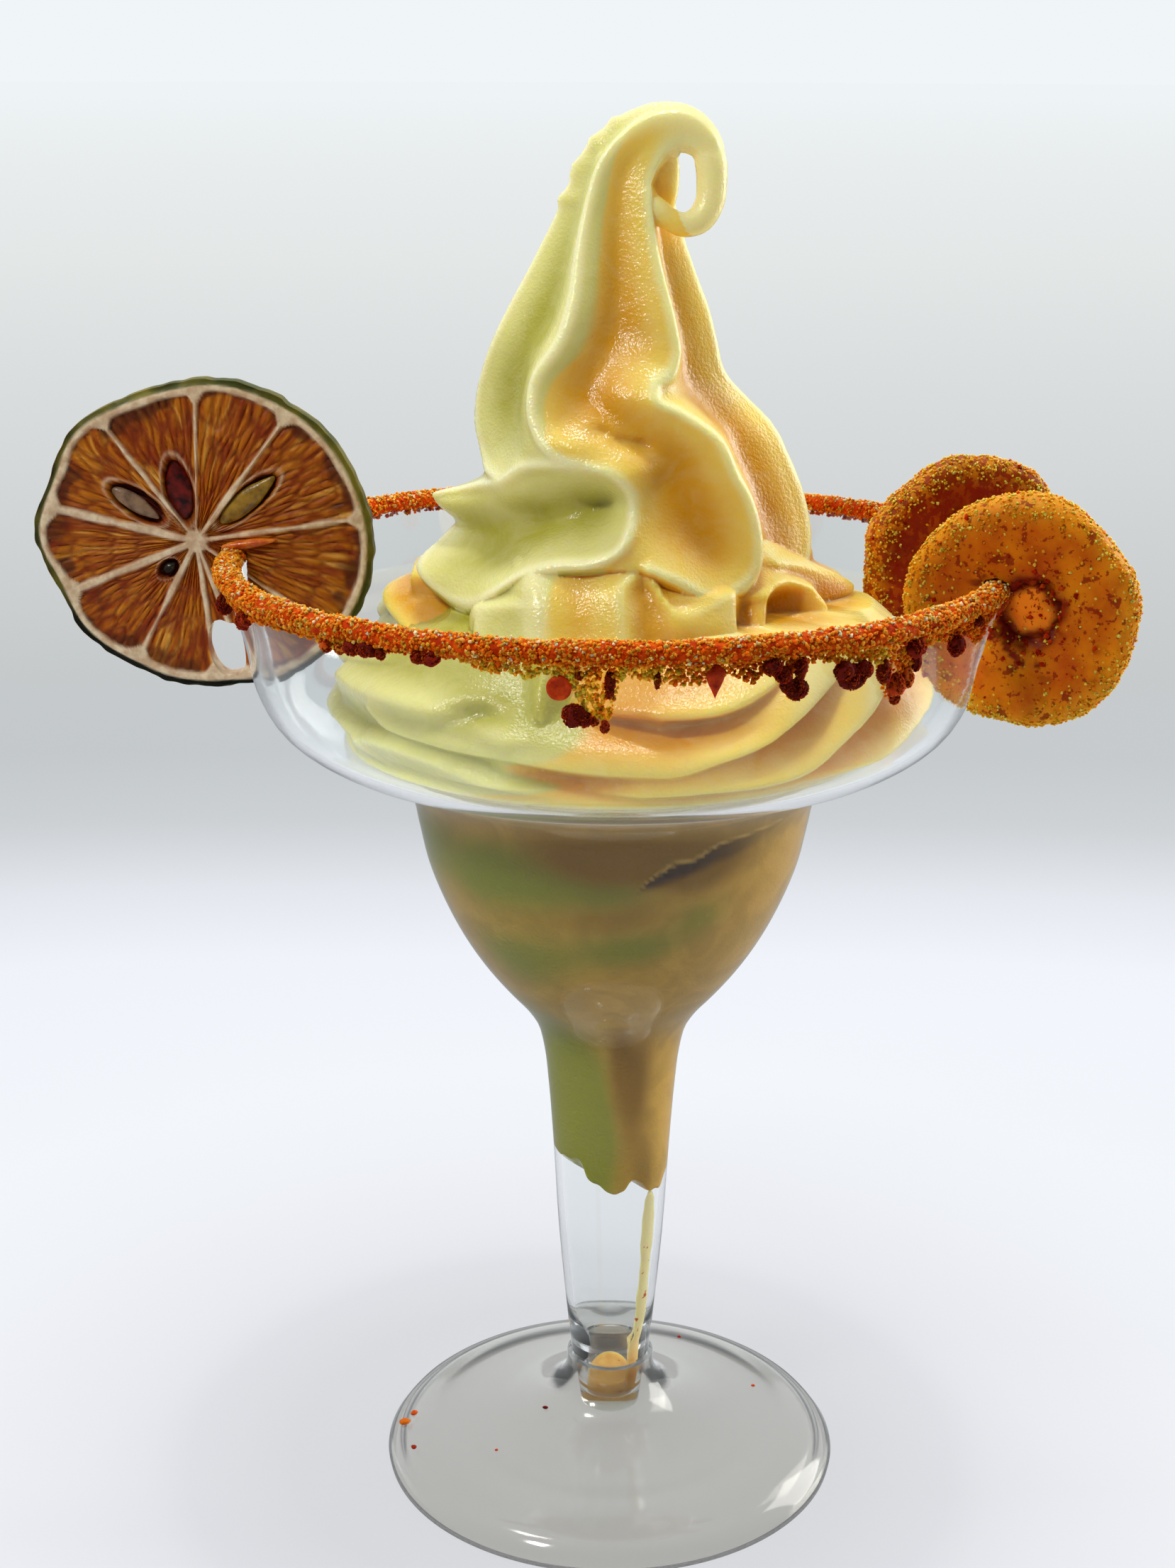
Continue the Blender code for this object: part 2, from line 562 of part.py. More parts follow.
def ball(name, centre, radii, divisions=1):
    made = bmesh.new()
    bmesh.ops.create_icosphere(made, subdivisions=divisions, radius=1.0)
    for v in made.verts:
        v.co = [(c + r * o) * MM for c, r, o in zip(centre, radii, v.co)]
    mesh = bpy.data.meshes.new(name)
    made.to_mesh(mesh)
    made.free()
    thing = bpy.data.objects.new(name, mesh)
    bpy.context.scene.collection.objects.link(thing)
    return thing


def frozen_drink(finish):
    drink = closed_loft("frozen_margarita", coil(COIL_SIDES, COIL_HEIGHTS, DRINK_CLEARANCE), finish)
    x, y, z, r = HOOK_KISS
    pieces = [closed_loft("peak", peak(PEAK_SIDES, PEAK_ROWS)),
              closed_loft("tier", tier(TIER_SIDES, TIER_HEIGHTS)),
              ball("kiss", (x, y, z), (r * 1.25, r, r * 0.8))]
    fuse(drink, pieces)
    keep_largest(drink)
    thin_out(drink, DRINK_FACES)
    round_shading(drink, 60)
    return drink


def stem_melt(finish):
    """A pool in the plug, and the streak down the wall that fed it."""
    a = math.radians(TRICKLE_ANGLE)
    inside = bowl_inside(CLEARANCE)[::-1]
    plug = np.array(PLUG_INSIDE)[::-1]
    wall = np.concatenate([plug - (CLEARANCE + 0.06, 0), inside])
    heights = np.array([POOL_TOP - 2.0, 20.2, 22.6, 26.0, 31.0, 36.0, 41.0, TRICKLE_TOP])
    rows = []
    for z in heights:
        r = float(np.interp(z, wall[:, 1], wall[:, 0]))
        share = (TRICKLE_TOP - z) / (TRICKLE_TOP - heights[0])
        half = 0.5 * (TRICKLE_WIDTH[0] * (1 - share) + TRICKLE_WIDTH[1] * share)
        if z == heights[-1]:
            half *= 0.4
        spread = half / r
        thick = min(TRICKLE_THICKNESS, r * 0.3)
        rows.append([(rr * math.sin(a + t * spread), -rr * math.cos(a + t * spread), z)
                     for rr, t in ((r - 0.05, -1), (r, 0), (r - 0.05, 1),
                                   (r - thick * 0.7, 0.6), (r - thick, 0), (r - thick * 0.7, -0.6))])
    streak = closed_loft("streak", rows)
    pool = turned("stem_melt", ((0.0, POOL_BOTTOM - 0.1), (POOL_RADIUS - 0.5, POOL_BOTTOM),
                                (POOL_RADIUS, POOL_BOTTOM + 1.4), (POOL_RADIUS, POOL_TOP),
                                (POOL_RADIUS - 1.2, POOL_TOP - 0.35), (0.0, POOL_TOP - 0.5)),
                  16, False, finish)
    fuse(pool, [streak])
    keep_largest(pool)
    round_shading(pool, 50)
    return pool


def glass_bowl(finish):
    lip = (RIM_RADIUS - 0.5 * WALL, RIM_HEIGHT + 0.2)
    profile = [*reversed(PLUG_INSIDE), *bowl_inside()[::-1], lip, *BOWL_OUTSIDE, *PLUG]
    bowl = turned("glass_bowl", profile, BOWL_SIDES, False, finish)
    round_shading(bowl, 35)
    return bowl


def glass_foot(finish):
    foot = turned("glass_foot", [*FOOT_OUTSIDE, *FOOT_INSIDE], FOOT_SIDES, True, finish)
    round_shading(foot, 35)
    return foot


def crust_cutter():
    """The wall with play each side, and the crust's outer form: what the garnishes straddle."""
    wall = np.array(BOWL_OUTSIDE)
    outer = offset_outline(wall, SLIT)[:9]
    inner = offset_outline(wall, -(WALL + SLIT))[:9]
    top = [(59.9, 147.2), (60.1, 149.0), (58.9, 150.9), (57.0, 151.5), (55.0, 151.4),
           (53.7, 150.2), (53.3, 148.6), (53.6, 146.9)]
    outer = outer[outer[:, 1] < 145.4]
    inner = inner[inner[:, 1] < 145.4]
    outline = [*reversed(outer), (59.4, 145.5), *top, (54.4, 145.5), *inner]
    return turned("rim_cutter", outline, BOWL_SIDES, True)


def crust(finish):
    """An uneven band over the rim, with fused grains and what has run down from it."""
    draw = random.Random(21)
    waves = [[(n, amount, draw.uniform(0, 6.28)) for n, amount in CRUST_WAVES]
             for _ in CRUST_SECTION]
    middle = np.array(CRUST_SECTION).mean(0)
    rows = []
    for i in range(CRUST_SIDES):
        a = 2 * math.pi * i / CRUST_SIDES
        row = []
        for k, (r, z) in enumerate(CRUST_SECTION):
            push = sum(m * math.sin(n * a + p) for n, m, p in waves[k])
            away = np.array([r, z]) - middle
            away = away / np.hypot(*away) * (0.0 if k in CRUST_FIXED else push)
            row.append(((r + away[0]) * math.sin(a), -(r + away[0]) * math.cos(a), z + away[1]))
        rows.append(row)
    size = len(CRUST_SECTION)
    faces = [(i * size + k, i * size + (k + 1) % size,
              ((i + 1) % CRUST_SIDES) * size + (k + 1) % size, ((i + 1) % CRUST_SIDES) * size + k)
             for i in range(CRUST_SIDES) for k in range(size)]
    band = new_object("rim_crust", [p for row in rows for p in row], faces, finish)
    face_outward(band)
    pieces = []
    for k in range(CRUST_GRAINS):
        a = math.radians((k + draw.uniform(-0.35, 0.35)) * 360 / CRUST_GRAINS)
        lean = math.radians(draw.uniform(-75, 80))
        r = 56.8 + 2.5 * math.sin(lean)
        z = 148.4 + 2.1 * math.cos(lean)
        size = [draw.uniform(*GRAIN_RADIUS) for _ in range(3)]
        pieces.append(ball("grain", (r * math.sin(a), -r * math.cos(a), z), size))
    for angle, z, radius in CRUST_LUMPS:
        a = math.radians(angle)
        flat = min(radius, 1.25)
        r = outside_radius(z + radius * 0.4) + CLEARANCE + flat
        pieces.append(ball("lump", (r * math.sin(a), -r * math.cos(a), z), (radius, flat, radius)))
        turn_about(pieces[-1], (r * math.sin(a), -r * math.cos(a), z), a)
        if z + radius * 0.6 < CRUST_BOTTOM:
            middle = (z + CRUST_BOTTOM) / 2
            r = outside_radius(middle) + CLEARANCE + 1.0
            pieces.append(ball("run", (r * math.sin(a), -r * math.cos(a), middle),
                               (0.95, 0.95, (CRUST_BOTTOM - z) / 2 + 1.0)))
    fuse(band, pieces, "MANIFOLD")
    keep_largest(band)
    thin_out(band, CRUST_FACES)
    round_shading(band, 50)
    return band


def turn_about(thing, centre, angle):
    """Turns a mesh about the upright line through centre."""
    c, s = math.cos(angle), math.sin(angle)
    x0, y0 = centre[0] * MM, centre[1] * MM
    for v in thing.data.vertices:
        x, y = v.co.x - x0, v.co.y - y0
        v.co.x, v.co.y = x0 + c * x - s * y, y0 + s * x + c * y


def upright_disc(name, outline, centre, angle, shift, thickness, bulge, finish=None):
    """A flat round slice standing in the plane of an angle: outline holds (outward, up)."""
    a = math.radians(angle)
    outward = np.array([math.sin(a), -math.cos(a), 0.0])
    across = np.array([math.cos(a), math.sin(a), 0.0])
    outline = np.array(outline, float)
    middle = np.array(centre, float)
    rows = []
    for share, depth in bulge:
        flat = middle + (outline - middle) * share
        rows.append(outward * flat[:, :1] + np.array([0, 0, 1.0]) * flat[:, 1:]
                    + across * (shift + depth * thickness / 2))
    return closed_loft(name, rows, finish)


def lime_outline():
    around = np.arange(LIME_SIDES) * 360.0 / LIME_SIDES
    table = [(20 * k, r) for k, r in enumerate(LIME_RADII)] + [(360, LIME_RADII[0])]
    radius = curve_at(around, table)
    a = np.radians(around)
    return np.stack([LIME_CENTRE[0] - radius * np.cos(a), LIME_CENTRE[1] + radius * np.sin(a)], -1)


def lime(finish):
    edge = ((0.93, -0.95), (0.985, -1.0), (1.0, -0.55), (1.0, 0.55), (0.985, 1.0), (0.93, 0.95))
    slice_ = upright_disc("lime_slice", lime_outline(), LIME_CENTRE, LIME_ANGLE, -LIME_SHIFT,
                          LIME_THICKNESS, edge, finish)
    gap_middle = np.mean(LIME_GAP, 0)
    hole = upright_disc("lime_gap", LIME_GAP, gap_middle, LIME_ANGLE, -LIME_SHIFT,
                        LIME_THICKNESS * 2, ((1.0, -1.0), (1.0, 1.0)))
    cut(slice_, hole)
    return slice_


def gummy_ring(name, finish):
    angle, distance, height, shift, seed = RING_PLACES[name]
    draw = random.Random(seed)
    waves = [(n, draw.uniform(0.1, 0.34), draw.uniform(0, 6.28)) for n in (2, 3, 5, 7)]
    section = [(-1.0, RING_HOLE + 0.8), (-1.0, RING_OUTER - 1.9), (-0.5, RING_OUTER - 0.2),
               (0.5, RING_OUTER - 0.2), (1.0, RING_OUTER - 1.9), (1.0, RING_HOLE + 0.8),
               (0.0, RING_HOLE)]
    a = math.radians(angle)
    outward = np.array([math.sin(a), -math.cos(a), 0.0])
    across = np.array([math.cos(a), math.sin(a), 0.0])
    vertices, size = [], len(section)
    for i in range(RING_SIDES):
        t = 2 * math.pi * i / RING_SIDES
        wobble = sum(m * math.sin(n * t + p) for n, m, p in waves)
        for depth, radius in section:
            r = radius + wobble * radius / RING_OUTER
            inner = radius < RING_OUTER / 2
            vertices.append(outward * (distance + shift[0] * inner + r * math.cos(t))
                            + np.array([0, 0, height + shift[1] * inner + r * math.sin(t)])
                            + across * depth * RING_THICKNESS / 2)
    faces = [(i * size + k, i * size + (k + 1) % size,
              ((i + 1) % RING_SIDES) * size + (k + 1) % size, ((i + 1) % RING_SIDES) * size + k)
             for i in range(RING_SIDES) for k in range(size)]
    ring = new_object(name, vertices, faces, finish)
    face_outward(ring)
    return ring


def build():
    clear_scene()
    clear_plastic = material("clear_plastic", (0.92, 0.94, 0.95), 0.05, 0.3)
    parts = [
        glass_bowl(clear_plastic),
        glass_foot(clear_plastic),
        frozen_drink(material("frozen_drink", (0.86, 0.80, 0.45), 0.35)),
        stem_melt(material("melted_drink", (0.70, 0.56, 0.25), 0.3)),
        crust(material("chili_salt", (0.62, 0.20, 0.05), 0.8)),
    ]
    cutter = crust_cutter()
    garnishes = [lime(material("dried_lime", (0.45, 0.28, 0.06), 0.6))]
    chewy = material("chili_gummy", (0.66, 0.32, 0.05), 0.45)
    garnishes += [gummy_ring(name, chewy) for name in RING_PLACES]
    for garnish in garnishes:
        cut(garnish, cutter)
        keep_largest(garnish)
        round_shading(garnish, 50)
    bpy.data.objects.remove(cutter, do_unlink=True)
    for thing in list(bpy.data.objects):
        if thing not in parts + garnishes:
            bpy.data.objects.remove(thing, do_unlink=True)
    axis = bpy.data.objects.new("glass_axis", None)
    bpy.context.scene.collection.objects.link(axis)
    axis.location = (GLASS_AXIS_X * MM, 0.0, 0.0)
    for thing in parts + garnishes:
        thing.parent = axis
    bpy.context.view_layer.update()


build()
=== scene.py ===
"""The looks of a frozen margarita: its swirl, clear glass, chili-salt rim, dried lime and gummy rings.

Lengths are millimetres and angles degrees until they reach a mesh. The glass's axis is the middle
of every polar position: angle 0 faces the front (-Y) and 90 faces the right (+X).
"""

import itertools
import math
import random

import bmesh
import bpy
import numpy as np
from mathutils import Matrix, Vector
from mathutils.kdtree import KDTree


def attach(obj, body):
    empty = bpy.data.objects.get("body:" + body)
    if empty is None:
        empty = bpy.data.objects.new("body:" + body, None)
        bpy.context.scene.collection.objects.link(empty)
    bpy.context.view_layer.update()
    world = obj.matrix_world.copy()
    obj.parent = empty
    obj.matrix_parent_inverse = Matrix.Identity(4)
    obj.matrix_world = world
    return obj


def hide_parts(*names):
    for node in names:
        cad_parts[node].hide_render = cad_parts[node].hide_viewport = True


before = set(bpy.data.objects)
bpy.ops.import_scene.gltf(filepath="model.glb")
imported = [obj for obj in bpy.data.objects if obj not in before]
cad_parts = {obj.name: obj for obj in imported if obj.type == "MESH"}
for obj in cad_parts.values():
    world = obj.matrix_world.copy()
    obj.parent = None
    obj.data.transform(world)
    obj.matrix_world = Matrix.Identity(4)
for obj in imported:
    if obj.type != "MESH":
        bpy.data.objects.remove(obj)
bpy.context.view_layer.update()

MM = 0.001
AXIS_X = 6.4                # the glass's axis, right of the middle of the whole object
IN_WALL = 0.2               # how far the drink reaches into the glass it touches

# Glass: a bowl with its hollow stem, and a foot that the stem plugs into
WALL = 1.1
RIM_RADIUS, RIM_HEIGHT = 57.0, 148.6
GLASS_SIDES = 192
BOWL_OUTSIDE = (            # (radius, height) from the rim down to the stem's shoulder
    (RIM_RADIUS, RIM_HEIGHT), (55.9, 143.4), (54.3, 137.4), (53.1, 131.2), (50.4, 126.0),
    (45.2, 122.0), (37.6, 119.6), (32.6, 116.4), (30.4, 113.0), (29.5, 109.0), (28.2, 103.0),
    (25.8, 96.5), (22.8, 90.5), (19.6, 85.6), (16.4, 81.6), (13.6, 78.4), (11.6, 75.2),
    (10.6, 71.2), (9.9, 65.0), (9.3, 57.0), (8.3, 40.0), (6.3, 17.9),
)
PLUG = ((5.6, 17.7), (5.5, 15.5), (4.8, 7.8), (0.0, 6.6))
PLUG_INSIDE = ((5.3, 22.4), (4.4, 20.6), (3.9, 10.6), (0.0, 9.8))
FOOT_OUTSIDE = (            # (radius, height) from the collar down to the lip
    (6.95, 17.3), (7.0, 15.2), (7.9, 12.9), (10.8, 10.3), (16.0, 7.9), (23.5, 6.0),
    (31.6, 4.7), (34.8, 3.0), (36.3, 1.0), (36.1, 0.0),
)
FOOT_INSIDE = (
    (34.5, 0.0), (33.2, 2.3), (29.0, 4.0), (20.0, 5.2), (13.0, 7.0), (8.2, 9.8), (6.4, 12.8),
    (5.95, 15.0), (5.95, 17.3),
)

# Frozen drink: the swirl's peak, the ruffled tier below it, and the coil with the filling
PEAK_SIDES, PEAK_ROWS = 250, 120
PEAK_BODY = (               # (height, sideways shift of the middle, crest radius)
    (141.0, 0.6, 26.6), (147.5, 1.0, 27.4), (152.0, 2.4, 26.4), (157.0, 2.9, 25.0),
    (163.5, 2.8, 22.6), (168.7, 1.0, 21.4), (172.0, -0.6, 19.6), (175.4, -1.7, 17.7),
    (180.6, -1.6, 16.0), (184.0, -1.2, 14.7), (190.0, -0.7, 11.9), (195.0, -0.3, 9.7),
    (200.0, 0.3, 7.8),
)
PEAK_HOOK = (               # (right, towards the back, up, radius): the tip curls over to the right
    (1.0, 0.0, 203.2, 6.7), (2.9, 0.0, 206.2, 5.7), (5.9, -0.3, 208.7, 4.5),
    (9.4, -0.8, 209.3, 3.4), (12.2, -1.4, 207.4, 2.5), (13.2, -2.0, 204.2, 2.0),
    (13.1, -2.8, 200.9, 1.7), (12.2, -3.6, 198.4, 1.2),
)
HOOK_END = (                # (right, towards the back, up, radius): the thin end, back to the peak
    (11.4, -1.2, 208.3, 1.6), (12.9, -1.8, 205.6, 2.2), (13.2, -2.5, 202.4, 2.15),
    (12.9, -3.2, 199.6, 2.05), (11.4, -4.0, 197.3, 1.95), (9.2, -4.6, 196.7, 1.7),
    (7.2, -4.7, 197.5, 1.6), (5.4, -4.4, 198.6, 1.9), (4.0, -3.8, 199.4, 1.9),
)
HOOK_SMOOTH, HOOK_ORANGE = (203, 216), (206, 222)    # stations where flutes and lime die out
HOOK_WEB = ((6.4, -0.6, 203.2), (2.3, 1.5, 6.2))     # thin drink that half fills the loop
PEAK_EDGE = (               # (angle, height) of the peak's overhanging lower edge
    (-180, 146.5), (-130, 148.5), (-108, 150.6), (-92, 150.6), (-78, 148.0), (-66, 144.9),
    (-53, 144.4), (-44, 146.4), (-34, 150.2), (-20, 151.9), (-4, 152.3), (5, 152.0), (13, 150.4),
    (21, 148.8), (30, 147.7), (40, 148.2), (50, 147.0), (72, 144.8), (100, 144.6), (140, 145.4),
    (180, 146.5),
)
PEAK_UNDERSIDE = ((0.5, -0.9), (1.8, -1.5), (4.0, -1.1), (7.5, 0.8), (13.0, 2.4))
PEAK_CRESTS = (             # (angle, height) down each crest; heights over 200 run along the hook
    ((-92, 240), (-92, 195), (-86, 180), (-89, 172), (-85, 167.5), (-74, 163.2), (-60, 162.0)),
    ((-40, 240), (-36, 203), (-31, 196), (-23, 186), (-24, 182), (-34, 176), (-35.5, 171),
     (-31, 167), (-19, 165.6), (-7, 164.4), (-1.8, 161.5), (-1.8, 157.5), (-4.5, 154.6),
     (-13, 152.7), (-24, 152.1), (-34, 150.4), (-40, 147.8), (-50, 145.2), (-60, 145.0),
     (-70, 146.4), (-80, 149.2), (-90, 151.6), (-104, 152.4)),
    ((-21, 165.4), (-33, 165.2), (-46, 164.2), (-58, 161.8), (-76, 160.2), (-92, 157.8)),
    ((30, 240), (34, 203), (35, 194), (39, 184), (40, 180), (36, 177.6), (24, 175.7),
     (22, 174.2), (30, 172.3), (38, 169.3), (39, 163.8), (42, 160), (43, 154), (41, 150),
     (34, 148), (26, 148), (15, 150.4), (5, 152.2)),
    ((88, 240), (88, 195), (88, 176), (92, 172), (89, 166), (86, 152), (80, 146)),
    ((150, 240), (148, 190), (140, 172), (134, 160), (138, 146)),
    ((-150, 240), (-148, 190), (-154, 172), (-166, 160), (-170, 146)),
    ((-128, 164), (-120, 158), (-116, 150), (-122, 146)),
)
PEAK_SWELLS = (             # (angle, height, rise, spread of angle, spread of height)
    (-90, 157.0, 5.6, 20, 2.7), (-78, 148.6, 3.4, 20, 3.4), (-50, 156.8, -2.6, 24, 2.6),
    (-15, 159.6, -3.6, 13, 2.4), (66, 162.0, -1.0, 14, 10.0), (6, 160.0, -1.6, 9, 6.0),
    (8, 174.6, 1.9, 14, 3.0), (3, 184.0, -1.0, 15, 9.0), (62, 186.0, -0.8, 12, 9.0),
    (-8, 169.6, -1.0, 5, 0.9), (-1, 168.5, -1.3, 5, 0.9), (7, 168.0, -1.2, 5, 0.9),
    (4, 165.0, 1.3, 10, 2.0), (-22, 168.4, 0.9, 8, 1.6),
    (-90, 199.6, 0.7, 14, 0.8), (-96, 202.6, 0.8, 16, 0.6), (-86, 205.0, 0.7, 14, 0.6),
    (-92, 207.6, 0.6, 16, 0.6), (-60, 204.0, 0.5, 9, 0.7),
)
PEAK_DEPTH = (6.0, 0.56)    # deepest flute, and depth for each unit of half spacing

TIER_SIDES, TIER_ROWS = 240, 64
TIER_OUTSIDE = (            # (height, crest radius)
    (126.0, 33.4), (132.0, 33.2), (136.0, 32.4), (140.0, 31.4), (144.0, 30.0), (147.0, 28.8),
    (149.6, 27.2), (151.6, 25.0), (153.0, 22.0),
)
TIER_FLOOR = 6.0            # the tier is at least this far under its folds
TIER_LIPS = (               # slope of the face above each lip and below it, width, lip's route
    (1.5, 0.06, 99, ((-47, 145.6), (-43, 145.9), (-35, 146.6), (-27, 147.0), (-24, 147.0))),
    (2.2, 0.05, 99, ((5, 152.6), (9.5, 150.2), (13.5, 147.0), (18, 146.6), (24.5, 147.3),
                     (31, 148.2), (33, 148.4))),
    (2.0, 0.10, 99, ((-104, 143.6), (-95, 143.4), (-84, 141.6), (-72, 139.8), (-60, 138.4))),
    (1.6, 0.9, 99, ((-108, 146.6), (-98, 147.4), (-90, 147.4), (-84, 146.6))),
    (1.6, 1.1, 99, ((44, 147.2), (51, 148.4), (58, 148.2), (65, 146.8))),
    (1.4, 0.5, 99, ((56, 150.8), (67, 149.8), (79.5, 147.6), (90, 144.6), (104, 142.0))),
    (1.2, 0.5, 99, ((-130, 141.0), (-120, 144.0), (-110, 146.4), (-102, 148.2))),
    (1.2, 0.5, 99, ((96, 149.6), (116, 147.0), (136, 143.0))),
    (1.2, 0.5, 99, ((128, 150.0), (150, 147.0), (172, 142.0))),
    (1.2, 0.5, 99, ((164, 150.0), (186, 147.0), (208, 142.0))),
    (1.2, 0.5, 99, ((200, 150.0), (220, 147.0), (238, 142.0))),
)
TIER_RIDGES = (             # slope to the left and to the right, rise, then (height, angle) upwards
    (0.35, 0.30, 0.5, ((126, -17), (134, -20), (143, -23.2), (147.6, -25.5), (150, -28),
                       (152.6, -31.5))),
    (0.24, 0.9, 0.2, ((126, 3), (134, 2), (144, 1), (146.2, 0.6), (149.8, 0.6), (151.2, 3),
                      (152.4, 6.5))),
    (0.16, 2.4, 0.2, ((126, 29), (143, 31.6), (145.4, 32.2), (148.4, 33.2))),
    (2.4, 0.14, 0.1, ((126, -39), (142.2, -43.4), (145.8, -46.2))),
    (1.2, 0.8, -0.4, ((126, 38), (140, 40), (143.8, 41.4), (147.2, 44.6))),
    (0.9, 1.2, 0.0, ((126, 64), (141.6, 65.8), (144.4, 66.4), (146.8, 65.0))),
    (0.7, 0.7, 0.0, ((126, 100), (146, 96))), (0.7, 0.7, 0.0, ((126, 132), (146, 126))),
    (0.7, 0.7, 0.0, ((126, 166), (146, 160))), (0.7, 0.7, 0.0, ((126, 200), (146, 196))),
    (0.7, 0.7, 0.0, ((126, 232), (146, 228))),
)
TIER_SWELLS = (
    (-62, 149.0, -5.0, 16, 3.4),
    (-93, 143.0, 5.0, 20, 5.0), (84, 143.6, 4.6, 20, 5.0), (-14, 135.6, 1.6, 9, 3.0),
    (-150, 144.0, 3.0, 40, 5.0), (150, 144.0, 3.0, 40, 5.0), (18, 144.6, 0.8, 9, 1.6),
)
TIER_FOLDS = (0.35, 3.0)    # how round the folds are, and how crisply one meets the next
TIER_SHIFT = 1.2

COIL_SIDES, COIL_ROWS = 300, 84
COIL_SHIFT = 2.0            # the coil lies a little to the right
COIL_OUTSIDE = (            # (height, radius) of the lips, where the drink leaves the glass and up
    (122.2, 40.4), (124.6, 43.4), (128.0, 44.9), (131.6, 45.1), (135.6, 43.9), (139.0, 41.4),
    (141.4, 38.0), (143.4, 32.0),
)
COIL_RIBBONS = (            # slope of the face above the lip and below it, its width, lip's route
    (0.62, 2.4, 5.6, ((-54, 132.6), (-50, 131.2), (-38, 130.2), (-21, 129.7), (-10, 129.0),
                      (2, 128.5), (8, 128.4), (15, 129.8), (24, 131.8), (32, 134.9), (40, 137.6),
                      (50, 139.6))),
    (0.8, 0.8, 9, ((-66, 124.6), (-58, 126.8), (-49, 127.8), (-41, 127.8), (-33, 127.0),
                   (-24, 125.4), (-12, 123.6), (0, 122.6))),
    (0.40, 2.0, 9, ((2, 125.0), (14, 125.6), (27, 126.0), (34, 127.2), (41, 130.4), (50, 134.0),
                    (60, 137.8))),
    (0.5, 1.4, 9, ((20, 122.8), (45, 124.2), (58, 126.0), (70, 127.8), (84, 131.2), (98, 136.0))),
    (1.6, 1.5, 9, ((6, 135.2), (16, 136.4), (27, 138.6), (36, 141.0))),
    (1.3, 0.5, 9, ((-72, 134.4), (-60, 134.6), (-48, 134.8), (-38, 134.6), (-30, 133.8),
                   (-22, 132.0))),
    (0.9, 0.9, 9, ((-116, 131.0), (-96, 134.6), (-82, 135.6), (-70, 137.2), (-62, 138.2))),
    (0.5, 1.6, 9, ((-130, 125.0), (-98, 128.6), (-80, 128.2), (-66, 127.0), (-52, 124.0))),
    (0.6, 1.4, 9, ((88, 123.4), (110, 126.0), (135, 131.0), (165, 136.6))),
    (0.6, 1.4, 9, ((124, 123.2), (150, 126.4), (175, 131.2), (205, 137.0))),
    (0.6, 1.4, 9, ((162, 123.4), (190, 126.8), (215, 131.4), (245, 136.4))),
    (0.6, 1.4, 9, ((205, 123.2), (230, 126.2), (250, 130.0), (268, 133.0))),
    (1.0, 1.2, 9, ((74, 139.4), (100, 140.4), (140, 140.8), (180, 140.6), (230, 140.0),
                   (262, 138.4))),
)
COIL_RIDGES = (             # upright block that stands in the hollow at the front
    (1.2, 1.6, -2.6, ((134.6, -17.0), (138.0, -17.6), (143.4, -19.0))),
)
RIBBON_CURL = 0.06          # how fast each ribbon curls in under the one above it
RIBBON_TUCK = 2.2           # how steeply it tucks in beyond its face
COIL_FOLDS = (0.5, 2.8)     # how round the lips are, and how crisply one meets the next
COIL_FLOOR = 5.5            # the coil is at least this far under its lips
FRONT_HOLLOW = (-6.0, 8.0, 58.0)        # angle, extra depth and spread of the lower front
COIL_SWELLS = (
    (-97, 137.0, -4.6, 9, 12.0), (103, 139.5, -6.4, 12, 8.0), (96, 128.4, 1.0, 14, 4.0),
    (-84, 142.0, -9.0, 22, 3.6), (-60, 142.6, -5.0, 14, 3.0),
    (4, 134.2, -4.0, 13, 1.6), (-30, 134.2, -3.5, 6, 1.8),
)
COIL_REACH = 46.5           # the coil stays inside the saucer
FILL_BOTTOM, FILL_START = 49.4, 57.0    # the drink's underside in the stem, and its even part
FILL_EDGE = (               # (angle, height) of its ragged lower edge at the wall
    (-180, 52.8), (-90, 53.6), (-50, 53.5), (-32, 53.2), (-27, 51.4), (-14, 50.6), (-4, 49.2),
    (6, 48.8), (14, 49.2), (21, 50.8), (35, 50.4), (45, 48.4), (55, 48.2), (63, 47.8), (74, 49.4),
    (110, 51.8), (180, 52.8),
)
CREST_ROUNDING = 0.10

# Tints of the drink inside the glass: (angle, height, strength, spread of angle, of height)
LOW_GREEN = (
    (-34, 107.5, 1.0, 22, 5.5), (-70, 108.0, 0.7, 16, 8.0), (-2, 106.5, 0.7, 16, 4.0),
    (-32, 93.5, 0.75, 20, 5.0), (4, 96.0, 0.75, 20, 3.6), (26, 101.0, 0.6, 12, 3.4),
    (-46, 68.0, 1.1, 40, 14.0), (-22, 56.0, 1.1, 30, 12.0), (-100, 60.0, 0.6, 40, 30.0),
    (170, 100.0, 0.8, 50, 12.0), (-150, 88.0, 0.8, 24, 9.0), (120, 76.0, 0.7, 30, 12.0),
)
LOW_AMBER = (
    (2, 112.0, 1.3, 30, 4.6), (24, 108.5, 0.8, 14, 4.0), (-6, 101.5, 0.55, 22, 3.4),
    (-48, 101.0, 0.2, 14, 3.0), (20, 68.0, 0.9, 17, 11.0), (6, 74.0, 0.5, 9, 8.0),
    (40, 53.0, 0.5, 16, 7.0), (-120, 104.0, 0.8, 30, 8.0), (110, 108.0, 0.7, 30, 6.0),
)
AIR_POCKET = (              # (angle, lower height, upper height) of an empty wedge at the wall, drawn only in colour: painted shade inside it and a painted highlight along its upper edge
    (6.5, 105.9, 106.1), (9.0, 106.1, 107.6), (13.0, 106.5, 109.3), (17.0, 107.2, 110.5),
    (23.5, 108.1, 111.1), (30.0, 109.2, 112.9), (38.5, 110.1, 113.7), (45.0, 111.4, 114.2),
    (52.0, 113.2, 114.6),
)

